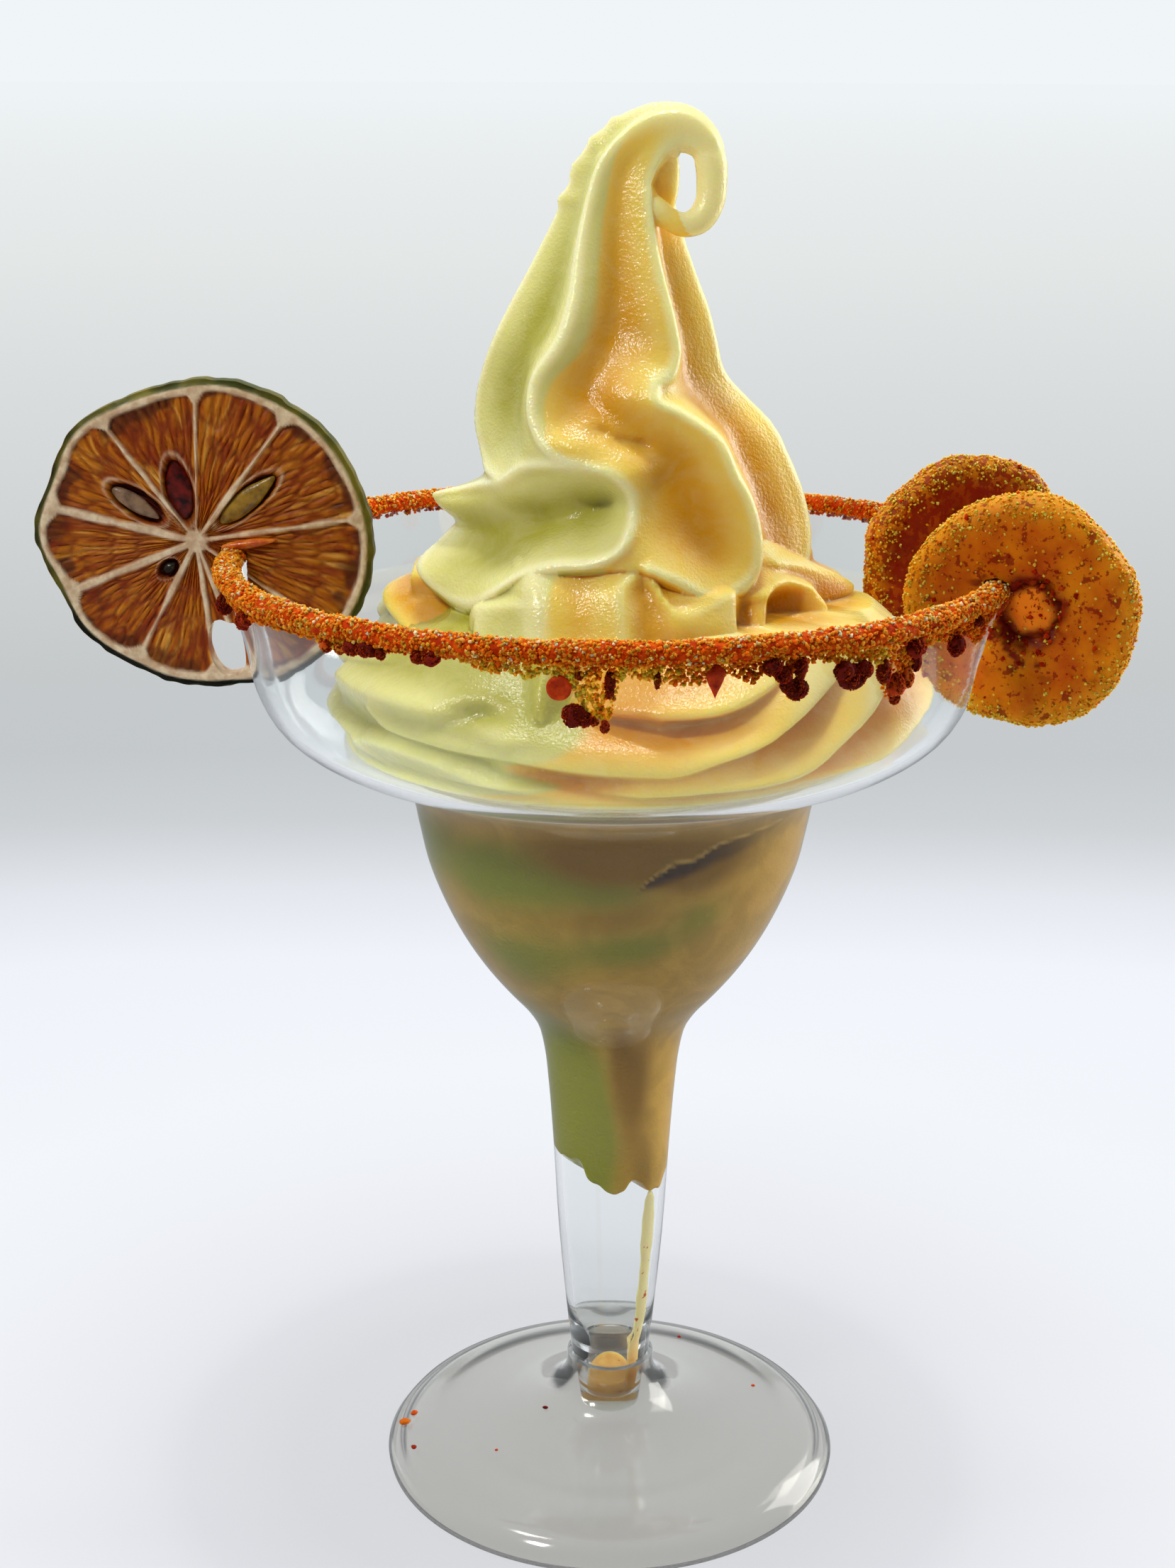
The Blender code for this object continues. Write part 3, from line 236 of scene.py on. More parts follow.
# Where lime flavour meets orange flavour: (height, angle) up each part's front, and its softness
PEAK_MEETING = (
    (144, -20), (148, -14), (152, -9), (154, -5), (157, -1), (161, -1), (164, -5), (165.6, -15),
    (167, -25), (171, -30), (176, -26), (180, -14), (186, -10), (196, -15), (203, -20),
    (214, -70), (224, -160),
)
PEAK_BACK_MEETING = -168.0
TIER_LIME = (-68.0, -21.0)
COIL_LIME = -124.0
COIL_MEETING = (
    (122, -30), (124, -20), (125.4, -13), (127.0, -20), (128.4, -22), (130.0, -14), (132, -9),
    (135, -10), (138, -14), (143.4, -18),
)

# Drink that ran down inside the stem
POOL_BOTTOM, POOL_TOP, POOL_RADIUS = 10.55, 13.4, 3.7
TRICKLE_ANGLE = 48.0
TRICKLE_TOP = 48.4
TRICKLE_WIDTH = (2.6, 1.8)  # at its top and at its foot
TRICKLE_THICKNESS = 0.6

# Chili-salt crust over the rim
CRUST_SIDES, CRUST_POINTS = 540, 40
CRUST_SECTION = (           # (radius, height) round the band, starting outside at its lower edge
    (56.95, 146.8), (57.7, 147.0), (58.25, 147.8), (57.9, 148.9), (56.6, 149.5), (55.3, 149.1),
    (54.85, 148.2), (55.05, 147.3), (55.5, 147.3), (55.75, 148.8), (57.1, 148.85),
)
CRUST_WALL = (56.35, 148.0, 1.25)       # the part of the section that hugs the wall, and its size
CRUST_EDGE = 147.3          # the band's lower edge outside, where the crumbs begin
GRAIN_COUNT = 14000
CRUMB_COUNT = 5200
CRUST_FRINGE = (            # (angle, lowest height, share of yellow crumbs) below the band outside
    (-180, 146.3, 0.0), (-100, 146.2, 0.0), (-88, 145.6, 0.0), (-76, 145.2, 0.0), (-62, 145.0, 0.1),
    (-52, 145.9, 0.2), (-44, 146.0, 0.3), (-38.5, 145.0, 0.9), (-34, 145.8, 0.1),
    (-27, 146.6, 0.0), (-20.5, 146.7, 0.3), (-17.5, 145.5, 0.7), (-16, 144.8, 0.6),
    (-14, 145.5, 0.8), (-11.5, 144.4, 1.0), (-9, 145.4, 1.0), (-6, 144.4, 1.0), (-4.0, 140.8, 1.0),
    (-1.6, 139.2, 0.7), (-0.4, 138.6, 0.4), (0.6, 144.2, 1.0), (1.5, 145.1, 1.0), (4.5, 144.6, 0.8),
    (7.5, 144.0, 0.5), (11, 143.8, 0.3), (13, 144.8, 0.5), (15.5, 144.9, 0.2), (18, 143.5, 0.0),
    (20.5, 145.8, 0.0), (24, 144.6, 0.0), (27, 145.8, 0.2), (31, 145.0, 0.4), (35, 145.0, 0.3),
    (38, 143.0, 1.0), (40.5, 138.6, 0.1), (42.5, 138.0, 0.1), (44, 142.6, 0.4), (48, 145.6, 0.4),
    (52, 144.6, 0.1), (57, 144.6, 0.0), (63, 141.8, 0.0), (66, 144.8, 0.0), (74, 146.0, 0.0),
    (100, 146.3, 0.0), (180, 146.3, 0.0),
)
CRUST_LUMPS = (             # (angle, height, width, drop, darkness) of lumps stuck to the outside
    (-78.0, 143.9, 1.15, 1.55, 1.0), (-63.5, 144.7, 1.0, 1.3, 0.7), (-62.0, 145.3, 0.8, 1.0, 0.6),
    (-41.0, 146.0, 0.85, 1.2, 0.25), (-38.6, 145.8, 0.7, 0.9, 0.0), (-36.0, 146.2, 1.2, 1.0, 0.8),
    (-33.6, 146.4, 1.5, 1.0, 0.9), (-31.6, 146.2, 0.7, 1.0, 0.7), (-25.4, 146.4, 1.1, 0.8, 0.8),
    (-23.8, 146.5, 1.3, 1.0, 0.7), (-5.2, 139.9, 1.5, 1.45, 0.9), (-3.9, 139.4, 1.0, 1.0, 0.8),
    (-4.4, 145.3, 0.5, 0.5, 0.6), (-0.5, 144.3, 0.62, 1.7, 0.9), (-0.6, 142.8, 0.5, 0.5, 0.4),
    (-1.2, 138.2, 0.55, 0.8, 0.5), (-2.6, 138.9, 0.5, 0.6, 0.4), (5.5, 144.8, 0.35, 1.2, 0.6),
    (20.3, 145.9, 1.2, 1.2, 0.95), (22.0, 144.6, 1.1, 1.0, 0.9), (24.2, 142.4, 1.55, 1.4, 1.0),
    (22.9, 143.0, 0.9, 1.0, 0.9), (24.5, 145.3, 0.75, 1.6, 0.8), (32.6, 143.1, 2.1, 1.7, 0.95),
    (31.0, 144.0, 1.2, 1.3, 0.9), (34.4, 143.9, 1.1, 1.1, 0.85), (38.2, 142.9, 0.9, 1.6, 0.8),
    (41.0, 140.6, 1.2, 1.5, 0.35), (42.0, 138.5, 0.7, 0.9, 0.4), (43.2, 141.2, 0.9, 1.4, 0.2),
    (43.5, 145.4, 1.6, 1.2, 0.8), (44.7, 143.2, 0.65, 1.3, 0.85), (53.4, 143.9, 1.35, 1.4, 0.9),
    (59.0, 146.2, 0.9, 0.7, 0.9),
)
LUMP_DEPTH = 1.1            # the most that a lump is deep, half through
FLAT_DISC = (-7.0, 143.6, 1.62)         # angle, height and radius of the flat chili disc
CONE_DRIP = (12.9, 146.6, 142.0, 1.55)  # angle, top, tip and widest half of the cone-shaped drip

# Dried lime slice, standing on the rim at the left
LIME_SHIFT = 2.6            # its plane lies this far behind the glass's axis
LIME_CENTRE = (61.2, 151.3)             # (distance from the axis, height)
LIME_THICKNESS = 3.6
LIME_SIDES, LIME_RINGS = 460, 72
LIME_RADII = (              # every 20 degrees, from the side towards the swirl round by the top
    25.2, 24.5, 24.0, 23.3, 22.9, 22.1, 22.4, 23.6, 23.1, 24.2, 22.6, 23.1, 22.4, 22.7, 22.9,
    24.4, 25.2, 25.6,
)
LIME_GAP = ((55.6, 137.6), (59.4, 138.4), (59.7, 131.6), (58.4, 130.2), (56.0, 130.4))
LIME_HUB = (61.7, 150.4)    # where the membranes meet
MEMBRANES = (               # (angle, half width in the middle) from the side towards the swirl
    (88.0, 0.28), (53.0, 0.42), (31.0, 0.0), (8.0, 0.40), (-35.0, 0.36), (-71.0, 0.34), (-84.0, 0.38),
    (-118.0, 0.45), (-158.0, 0.52), (167.0, 0.60), (127.0, 0.40),
)

# Gummy rings on the rim at the right
RING_OUTER, RING_HOLE = 16.4, 3.6
RING_THICKNESS = 5.6
RING_SIDES, RING_POINTS = 300, 72
RING_PLACES = {             # angle, distance of the middle from the axis, height, hole's shift, seed
    "gummy_ring_front": (72.0, 59.8, 145.0, (1.6, 0.6), 3),
    "gummy_ring_back": (103.0, 54.8, 145.2, (0.4, 0.2), 8),
}
SLIT = 0.42                 # play each side of the wall in what is pushed onto the rim


def tone(red, green, blue):
    """A colour as the eye reads it off a picture, 0 to 255, as a shader's linear colour."""
    shares = [c / 255 for c in (red, green, blue)]
    return (*[s / 12.92 if s < 0.04 else ((s + 0.055) / 1.055)**2.4 for s in shares], 1.0)


class Nodes:
    """Short ways to place and join the nodes of one tree."""

    def __init__(self, tree):
        self.tree = tree
        self.coordinates = None

    def add(self, kind, inputs=None, **settings):
        node = self.tree.nodes.new("ShaderNode" + kind)
        for name, value in settings.items():
            setattr(node, name, value)
        self.feed(node, inputs or {})
        return node

    def feed(self, node, inputs):
        for name, value in inputs.items():
            if isinstance(value, bpy.types.NodeSocket):
                self.tree.links.new(value, node.inputs[name])
            else:
                node.inputs[name].default_value = value

    def place(self):
        """Where a point lies in the piece's own space."""
        if self.coordinates is None:
            self.coordinates = self.add("TexCoord").outputs["Object"]
        return self.coordinates

    def noise(self, size, detail=2.0, rough=0.5, warp=0.0):
        """Cloudy noise whose blotches are size millimetres across."""
        return self.add("TexNoise", {"Vector": self.place(), "Scale": 1 / (size * MM),
                                     "Detail": detail, "Roughness": rough,
                                     "Distortion": warp}).outputs["Fac"]

    def math(self, operation, *values):
        node = self.add("Math", operation=operation)
        self.feed(node, dict(enumerate(values)))
        return node.outputs[0]

    def between(self, value, low, high):
        """0 below low, 1 above high and smooth in between."""
        return self.add("MapRange", {"Value": value, "From Min": low, "From Max": high},
                        interpolation_type="SMOOTHSTEP").outputs[0]

    def mix(self, share, first, second, blend="MIX"):
        node = self.add("Mix", data_type="RGBA", blend_type=blend)
        self.feed(node, {0: share, 6: first, 7: second})
        return node.outputs[2]

    def ramp(self, value, *stops):
        node = self.add("ValToRGB", {0: value})
        elements = node.color_ramp.elements
        while len(elements) < len(stops):
            elements.new(0.5)
        for element, (position, colour) in zip(elements, stops):
            element.position = position
            element.color = colour
        return node.outputs[0]

    def mask(self, name):
        """A value that the mesh carries at each vertex."""
        return self.add("Attribute", attribute_name=name).outputs["Fac"]


class Finish(Nodes):
    """A material with its Principled shader."""

    def __init__(self, name, **values):
        self.material = bpy.data.materials.new(name)
        self.material.use_nodes = True
        super().__init__(self.material.node_tree)
        self.shader = self.tree.nodes["Principled BSDF"]
        self.feed(self.shader, {key.replace("_", " "): value for key, value in values.items()})

    def relief(self, height, strength, depth):
        """Bump from a height map whose full range is depth millimetres."""
        inputs = {"Height": height, "Strength": strength, "Distance": depth * MM}
        earlier = self.shader.inputs["Normal"].links
        if earlier:
            inputs["Normal"] = earlier[0].from_socket
        self.feed(self.shader, {"Normal": self.add("Bump", inputs).outputs["Normal"]})

    def group(self, tree, **values):
        node = self.tree.nodes.new("ShaderNodeGroup")
        node.node_tree = tree
        self.feed(node, {key.replace("_", " "): value for key, value in values.items()})
        return node.outputs


def shared_effect(name, inputs, outputs):
    """An empty node group with float inputs and outputs, and the nodes that join them."""
    tree = bpy.data.node_groups.new(name, "ShaderNodeTree")
    for label, value in inputs:
        socket = tree.interface.new_socket(label, in_out="INPUT", socket_type="NodeSocketFloat")
        socket.default_value = value
    for label in outputs:
        tree.interface.new_socket(label, in_out="OUTPUT", socket_type="NodeSocketFloat")
    nodes = Nodes(tree)
    entry = tree.nodes.new("NodeGroupInput").outputs
    leave = tree.nodes.new("NodeGroupOutput").inputs
    return nodes, entry, leave


def wet_grain_effect():
    """Fine icy grain: small grains over softer ripples, both in millimetres."""
    nodes, entry, leave = shared_effect("wet_grain", (("Grain", 0.5), ("Ripple", 2.5)), ("Height",))
    heights = []
    for label, share in (("Grain", 0.6), ("Ripple", 0.4)):
        scale = nodes.math("DIVIDE", 1 / MM, entry[label])
        cloud = nodes.add("TexNoise", {"Vector": nodes.place(), "Scale": scale, "Detail": 2.0})
        heights.append(nodes.math("MULTIPLY", cloud.outputs["Fac"], share))
    nodes.tree.links.new(nodes.math("ADD", *heights), leave["Height"])
    return nodes.tree


def speckle_effect():
    """Scattered specks: Mask is 1 on a speck, Size is millimetres, Share is how much they cover."""
    nodes, entry, leave = shared_effect("speckle", (("Size", 1.0), ("Share", 0.3)), ("Mask",))
    scale = nodes.math("DIVIDE", 1 / MM, entry["Size"])
    cloud = nodes.add("TexNoise", {"Vector": nodes.place(), "Scale": scale, "Detail": 3.0,
                                   "Roughness": 0.6}).outputs["Fac"]
    edge = nodes.math("SUBTRACT", 0.72, nodes.math("MULTIPLY", entry["Share"], 0.4))
    over = nodes.math("SUBTRACT", cloud, edge)
    nodes.tree.links.new(nodes.between(over, 0.0, 0.04), leave["Mask"])
    return nodes.tree


WET_GRAIN = wet_grain_effect()
SPECKLE = speckle_effect()


def piece_from(name, vertices, faces, finish=None, smooth=True):
    """An object on the glass's axis from arrays of millimetres and of equal-sided faces."""
    vertices = np.asarray(vertices, float)
    faces = np.asarray(faces, np.int32)
    mesh = bpy.data.meshes.new(name)
    mesh.vertices.add(len(vertices))
    mesh.vertices.foreach_set("co", (vertices * MM).astype(np.float32).ravel())
    mesh.loops.add(faces.size)
    mesh.loops.foreach_set("vertex_index", faces.ravel())
    mesh.polygons.add(len(faces))
    mesh.polygons.foreach_set("loop_start", np.arange(len(faces), dtype=np.int32) * faces.shape[1])
    mesh.update(calc_edges=True)
    mesh.validate()
    thing = bpy.data.objects.new(name, mesh)
    bpy.context.scene.collection.objects.link(thing)
    thing.location.x = AXIS_X * MM
    if finish:
        mesh.materials.append(finish.material)
    if smooth:
        mesh.shade_smooth()
    return thing


def points_of(thing):
    """Its vertices in millimetres from the glass's axis."""
    flat = np.zeros(len(thing.data.vertices) * 3, np.float32)
    thing.data.vertices.foreach_get("co", flat)
    return flat.reshape(-1, 3).astype(float) / MM


def carry(thing, **masks):
    """Writes values at the vertices for the finish to read."""
    for name, values in masks.items():
        made = thing.data.attributes.new(name, "FLOAT", "POINT")
        made.data.foreach_set("value", np.asarray(values, np.float32))


def shown(thing, slot, *nodes):
    """Puts a piece on the object: it rides on the body and stands for its CAD nodes."""
    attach(thing, "root")
    if nodes:
        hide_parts(*nodes)
    return thing


def recalculate(thing):
    made = bmesh.new()
    made.from_mesh(thing.data)
    bmesh.ops.recalc_face_normals(made, faces=made.faces)
    made.to_mesh(thing.data)
    made.free()


def smoothstep(value, low, high):
    t = np.clip((np.asarray(value, float) - low) / (high - low), 0, 1)
    return t * t * (3 - 2 * t)


def clouds(points, size, seed=0):
    """Smooth noise from -1 to 1 at each point, with blotches of that size."""
    p = np.asarray(points, float) / size + seed * 17.13
    cell = np.floor(p).astype(np.int64)
    t = p - cell
    t = t * t * (3 - 2 * t)
    total = np.zeros(p.shape[:-1])
    for corner in itertools.product((0, 1), repeat=p.shape[-1]):
        at = cell + np.array(corner)
        key = (at * np.array([73856093, 19349663, 83492791][:p.shape[-1]])).sum(-1) % 104729
        value = np.sin(key * 12.9898) * 43758.5453
        weight = np.prod(np.where(corner, t, 1 - t), -1)
        total += weight * (2 * (value - np.floor(value)) - 1)
    return total


def polar(radius, angle, height):
    """Places at a radius, an angle in radians and a height."""
    parts = np.broadcast_arrays(radius * np.sin(angle), -radius * np.cos(angle), height)
    return np.stack(parts, -1).astype(float)


def ring_ways(sides):
    """Angles round the axis, and the outward way at each."""
    angle = np.arange(sides) * 360.0 / sides - 180
    return angle, polar(1.0, np.radians(angle), 0.0)


def turned_by(points, angle):
    """Points turned round the vertical by an angle in degrees."""
    c, s = math.cos(math.radians(angle)), math.sin(math.radians(angle))
    return points @ np.array([[c, s, 0], [-s, c, 0], [0, 0, 1.0]])


def nearest_tree(points):
    """A tree that finds the nearest of some points."""
    tree = KDTree(len(points))
    for i, point in enumerate(points):
        tree.insert(point, i)
    tree.balance()
    return tree


def curve_at(x, points, column=1):
    """A smooth curve through (x, value, ...) points, read at the array x."""
    xs = np.array([p[0] for p in points], float)
    ys = np.array([p[column] for p in points], float)
    slope = np.gradient(ys, xs)
    x = np.clip(np.asarray(x, float), xs[0], xs[-1])
    i = np.clip(np.searchsorted(xs, x) - 1, 0, len(xs) - 2)
    step = xs[i + 1] - xs[i]
    t = (x - xs[i]) / step
    return (ys[i] * (2 * t**3 - 3 * t**2 + 1) + ys[i + 1] * (3 * t**2 - 2 * t**3)
            + slope[i] * step * (t**3 - 2 * t**2 + t) + slope[i + 1] * step * (t**3 - t**2))


def along_table(points):
    """Each point with its distance along the line in front."""
    points = np.array(points, float)
    steps = np.sqrt((np.diff(points, axis=0)**2).sum(-1))
    return [(a, *p) for a, p in zip(np.concatenate([[0], np.cumsum(steps)]), points)]


def smooth_outline(points, count):
    """count points spaced evenly along a smooth curve through (radius, height) points."""
    table = along_table(points)
    s = np.linspace(0, table[-1][0], count)
    return np.stack([curve_at(s, table, 1), curve_at(s, table, 2)], -1)


def offset_outline(points, distance):
    """The outline moved outwards, for one that is walked downwards."""
    points = np.array(points, float)
    direction = np.gradient(points, axis=0)
    direction /= np.hypot(direction[:, 0], direction[:, 1])[:, None]
    return points + distance * np.stack([-direction[:, 1], direction[:, 0]], -1)


def grid_faces(rows, columns, closed_rows=False):
    """Quads of a grid of points whose columns close into a ring, as may its rows."""
    r = np.arange(rows if closed_rows else rows - 1)
    c = np.arange(columns)
    r, c = np.meshgrid(r, c, indexing="ij")
    up, on = (r + 1) % rows, (c + 1) % columns
    return np.stack([r * columns + c, r * columns + on, up * columns + on, up * columns + c],
                    -1).reshape(-1, 4)


def closed_loft(name, rows):
    """Rings of points, lowest first, closed at each end by a small ring drawn to its middle."""
    rows = [np.asarray(r, float) for r in rows]
    first, last = rows[0].mean(0), rows[-1].mean(0)
    rows = [first + (rows[0] - first) * 1e-3, *rows, last + (rows[-1] - last) * 1e-3]
    sides = len(rows[0])
    faces = grid_faces(len(rows), sides)
    thing = piece_from(name, np.concatenate(rows), faces)
    made = bmesh.new()
    made.from_mesh(thing.data)
    made.verts.ensure_lookup_table()
    total = len(rows) * sides
    made.faces.new([made.verts[i] for i in range(sides - 1, -1, -1)])
    made.faces.new([made.verts[i] for i in range(total - sides, total)])
    bmesh.ops.recalc_face_normals(made, faces=made.faces)
    bmesh.ops.triangulate(made, faces=made.faces)
    made.to_mesh(thing.data)
    made.free()
    return thing


def turned(name, outline, sides, closed, finish=None):
    """A (radius, height) outline spun round the axis: closed, or ending on the axis."""
    outline = np.array(outline, float)
    outline[:, 0] = np.maximum(outline[:, 0], 0.0)
    a = np.arange(sides) * 2 * math.pi / sides
    ring = np.stack([np.sin(a), -np.cos(a)], -1)
    vertices = np.concatenate([np.concatenate([ring * r, np.full((sides, 1), z)], 1)
                               for r, z in outline])
    thing = piece_from(name, vertices, grid_faces(len(outline), sides, closed), finish)
    made = bmesh.new()
    made.from_mesh(thing.data)
    bmesh.ops.remove_doubles(made, verts=made.verts, dist=1e-7)
    bmesh.ops.recalc_face_normals(made, faces=made.faces)
    made.to_mesh(thing.data)
    made.free()
    return thing


def bowl_inside(extra=0.0):
    """The inside of the bowl and stem, from the rim down, drawn in further by extra."""
    inside = offset_outline(BOWL_OUTSIDE, -(WALL + extra))[:-1]
    shoulder = np.array([[BOWL_OUTSIDE[-1][0] - WALL - extra + 0.7, PLUG_INSIDE[0][1] + 3.6]])
    return np.concatenate([inside, shoulder])


def outside_radius(height):
    """The bowl's outer radius at a height."""
    wall = np.array(BOWL_OUTSIDE)[::-1]
    return np.interp(height, wall[:, 1], wall[:, 0])


def swelling(angle, height, swells):
    """How far soft bulges and hollows move the surface outwards."""
    rise = np.zeros(np.broadcast(angle, height).shape)
    for a, h, amount, spread_angle, spread_height in swells:
        turn = (angle - a + 180) % 360 - 180
        rise = rise + amount * np.exp(-(turn / spread_angle)**2 - ((height - h) / spread_height)**2)
    return rise


def flute_depth(points, trees, limits):
    """Depth of the hollow between the two nearest crests, and the distance to the nearer one."""
    near = np.array([[tree.find(p)[2] for p in points] for tree in trees])
    near.sort(axis=0)
    nearest, second = near[0], near[1]
    across = 2 * nearest / (nearest + second + 1e-9)
    across = np.sqrt(across**2 + CREST_ROUNDING**2) - CREST_ROUNDING
    deepest = np.minimum(limits[0], limits[1] * (nearest + second) / 2)
    return deepest * (1 - (1 - np.clip(across, 0, 1))**2), nearest


def softened(field, reach):
    """A grid whose columns close into a ring, averaged over reach cells each way, twice."""
    for _ in range(2):
        for axis, mode in ((1, "wrap"), (0, "edge")):
            width = [(0, 0), (0, 0)]
            width[axis] = (reach, reach)
            padded = np.pad(field, width, mode=mode)
            field = sum(np.roll(padded, k, axis) for k in range(-reach, reach + 1)) / (2 * reach + 1)
            field = field[reach:-reach] if axis == 0 else field[:, reach:-reach]
    return field


def route(points, count=400):
    """A smooth line through (angle, height) points."""
    points = np.array(points, float)
    along = np.concatenate([[0], np.cumsum(np.hypot(*(np.diff(points, axis=0) * (0.4, 1)).T))])
    table = [(a, *p) for a, p in zip(along, points)]
    s = np.linspace(0, along[-1], count)
    return curve_at(s, table, 1), curve_at(s, table, 2)


def peak_stations():
    """(station, right, back, up, radius) up the peak and along its hook."""
    rows = [(z, x, 0.0, z, r) for z, x, r in PEAK_BODY]
    station, before = rows[-1][0], rows[-1][1:4]
    for x, y, z, r in PEAK_HOOK:
        station += math.dist(before, (x, y, z))
        before = (x, y, z)
        rows.append((station, x, y, z, r))
    return rows


def peak_point(angle, station):
    """The point on the peak's crest surface at an angle and a station, and its outward way."""
    rows = peak_stations()
    step = 0.2
    station = np.minimum(station, rows[-1][0] - step)
    middle = np.stack([curve_at(station, rows, k) for k in (1, 2, 3)], -1)
    ahead = np.stack([curve_at(station + step, rows, k) for k in (1, 2, 3)], -1)
    behind = np.stack([curve_at(station - step, rows, k) for k in (1, 2, 3)], -1)
    tangent = ahead - behind
    tangent /= np.linalg.norm(tangent, axis=-1, keepdims=True) + 1e-12
    bend = np.clip((station - 198) / 6, 0, 1)[..., None]
    tangent = (1 - bend) * np.array([0, 0, 1.0]) + bend * tangent
    tangent /= np.linalg.norm(tangent, axis=-1, keepdims=True)
    right = np.cross(np.array([0, 1.0, 0]), tangent)
    right /= np.linalg.norm(right, axis=-1, keepdims=True)
    front = np.cross(right, tangent)
    a = np.radians(angle)[..., None]
    way = right * np.sin(a) + front * np.cos(a)
    radius = curve_at(station, rows, 4) + swelling(angle, station, PEAK_SWELLS)
    return middle + way * radius[..., None], way


def lime_share(angle, low, high, softness):
    """1 between two meeting angles, where the drink is lime flavoured, and 0 beyond them."""
    turn = (angle - low + 180) % 360 - 180 + low
    turn = np.where(turn < low - 60, turn + 360, turn)
    return smoothstep(turn, low - softness, low + softness) * (
        1 - smoothstep(turn, high - softness, high + softness))


def peak(sides, rows):
    """The fluted peak with its curled tip, overhanging at its lower edge: rings and their masks."""
    angle = np.arange(sides) * 360.0 / sides - 180
    edge = curve_at(angle, PEAK_EDGE)
    last = peak_stations()[-1][0]
    crests = [nearest_tree(peak_point(*route(c))[0]) for c in PEAK_CRESTS]
    stations = [edge + (200 - edge) * t for t in np.linspace(0, 1, rows)]
    stations += [np.full(sides, 200 + (last - 200) * t) for t in np.linspace(0, 1, rows // 3)[1:]]
    surfaces = [peak_point(angle, station) for station in stations]
    depths = [flute_depth(surface, crests, PEAK_DEPTH) for surface, _ in surfaces]
    depth, nearest = (np.array([d[k] for d in depths]) for k in (0, 1))
    depth += smoothstep(nearest, 0.7, 2.6) * (softened(depth, 3) - depth)
    made, limes, hollows = [], [], []
    for k, station in enumerate(stations):
        surface, way = surfaces[k]
        hollow = depth[k] * (1 - 0.75 * smoothstep(station, *HOOK_SMOOTH))
        ring = surface - way * hollow[:, None]
        lime = lime_share(angle, PEAK_BACK_MEETING, curve_at(station, PEAK_MEETING),
                          3.0 + 5.0 * smoothstep(station, 172, 184))
        lime = lime * (1 - smoothstep(station, *HOOK_ORANGE))
        if k == 0:
            for inset, rise in reversed(PEAK_UNDERSIDE):
                under = ring - way * inset
                under[:, 2] += rise
                made.append(under)
                limes.append(lime)
                # the underside counts as a deep hollow, so the finish gives it painted shade
                hollows.append(np.full(sides, 4.0))
        made.append(ring)
        limes.append(lime)
        # the flute's depth also sets painted shade in the finish, and a painted highlight near the
        # crests
        hollows.append(hollow)
    return made, limes, hollows


def hook_end(sides=36, rows=60):
    """The hook's thin round end, which curls back into the peak."""
    table = along_table([p[:3] for p in HOOK_END])
    radii = [(row[0], p[3]) for row, p in zip(table, HOOK_END)]
    s = np.linspace(0, table[-1][0], rows)
    middle = np.stack([curve_at(s, table, k) for k in (1, 2, 3)], -1)
    tangent = np.gradient(middle, axis=0)
    tangent /= np.linalg.norm(tangent, axis=1, keepdims=True)
    side = np.cross(np.array([0, 1.0, 0]), tangent)
    side /= np.linalg.norm(side, axis=1, keepdims=True)
    other = np.cross(tangent, side)
    a = np.arange(sides) * 2 * math.pi / sides
    radius = curve_at(s, radii)
    return [middle[k] + radius[k] * (side[k] * np.cos(a)[:, None] + other[k] * np.sin(a)[:, None])
            for k in range(rows)]


def folded(angle, height, outline, floor, lips, ridges, folds):
    """Radius of a surface of folds: the outermost of its lips, its upright ridges and its floor."""
    rounding, crispness = folds
    reach = [np.exp(crispness * (curve_at(height, outline) - floor - 40))]
    for face, under, width, lip in lips:
        middle = (lip[0][0] + lip[-1][0]) / 2
        turn = middle + (angle - middle + 180) % 360 - 180
        level = curve_at(turn, lip)
        beyond = np.maximum(lip[0][0] - turn, 0) + np.maximum(turn - lip[-1][0], 0)
        over = height - level
        bend = np.sqrt(over**2 + rounding**2)
        above, below = (bend + over) / 2, (bend - over) / 2
        tucked = np.log1p(np.exp(np.clip(above - width, -30, 30)))
        drop = face * above + RIBBON_CURL * above**2 + RIBBON_TUCK * tucked + under * below
        radius = curve_at(level, outline) - drop - 0.35 * beyond + rounding / 2
        reach.append(np.exp(crispness * (radius - 40)))
    for left, right, rise, line in ridges:
        middle = curve_at(height, line)
        across = np.radians((angle - middle + 180) % 360 - 180) * curve_at(height, outline)
        bend = np.sqrt(across**2 + rounding**2)
        beyond = np.maximum(line[0][0] - height, 0) + np.maximum(height - line[-1][0], 0)
        radius = (curve_at(height, outline) + rise - right * (bend + across) / 2
                  - left * (bend - across) / 2 - 1.2 * beyond)
        reach.append(np.exp(crispness * (radius - 40)))
    return 40 + np.log(sum(reach)) / crispness


def tier_radius(angle, height):
    return (folded(angle, height, TIER_OUTSIDE, TIER_FLOOR, TIER_LIPS, TIER_RIDGES, TIER_FOLDS)
            + swelling(angle, height, TIER_SWELLS))


def tier(sides, rows):
    """The ruffled tier under the peak, with upright folds and scrolls: rings and their masks."""
    angle, way = ring_ways(sides)
    made, limes, hollows = [], [], []
    for height in np.linspace(TIER_OUTSIDE[0][0], TIER_OUTSIDE[-1][0], rows):
        level = np.full(sides, height)
        radius = tier_radius(angle, level)
        made.append(way * radius[:, None] + (TIER_SHIFT, 0, height))
        limes.append(lime_share(angle, *TIER_LIME, 3.0))
        # depth under the crest, which the finish turns into painted shade in the hollows and a painted
        # highlight near the crests
        crest = curve_at(level, TIER_OUTSIDE) + swelling(angle, level, TIER_SWELLS)
        hollows.append(np.clip(crest - radius, 0, 8) * 1.5 + 0.5)
    for share in (0.6, 0.3):
        made.append(made[rows - 1] * (share, share, 1) + (0, 0, 0.6 * (1 - share)))
        limes.append(limes[-1])
        hollows.append(hollows[-1])
    return made, limes, hollows


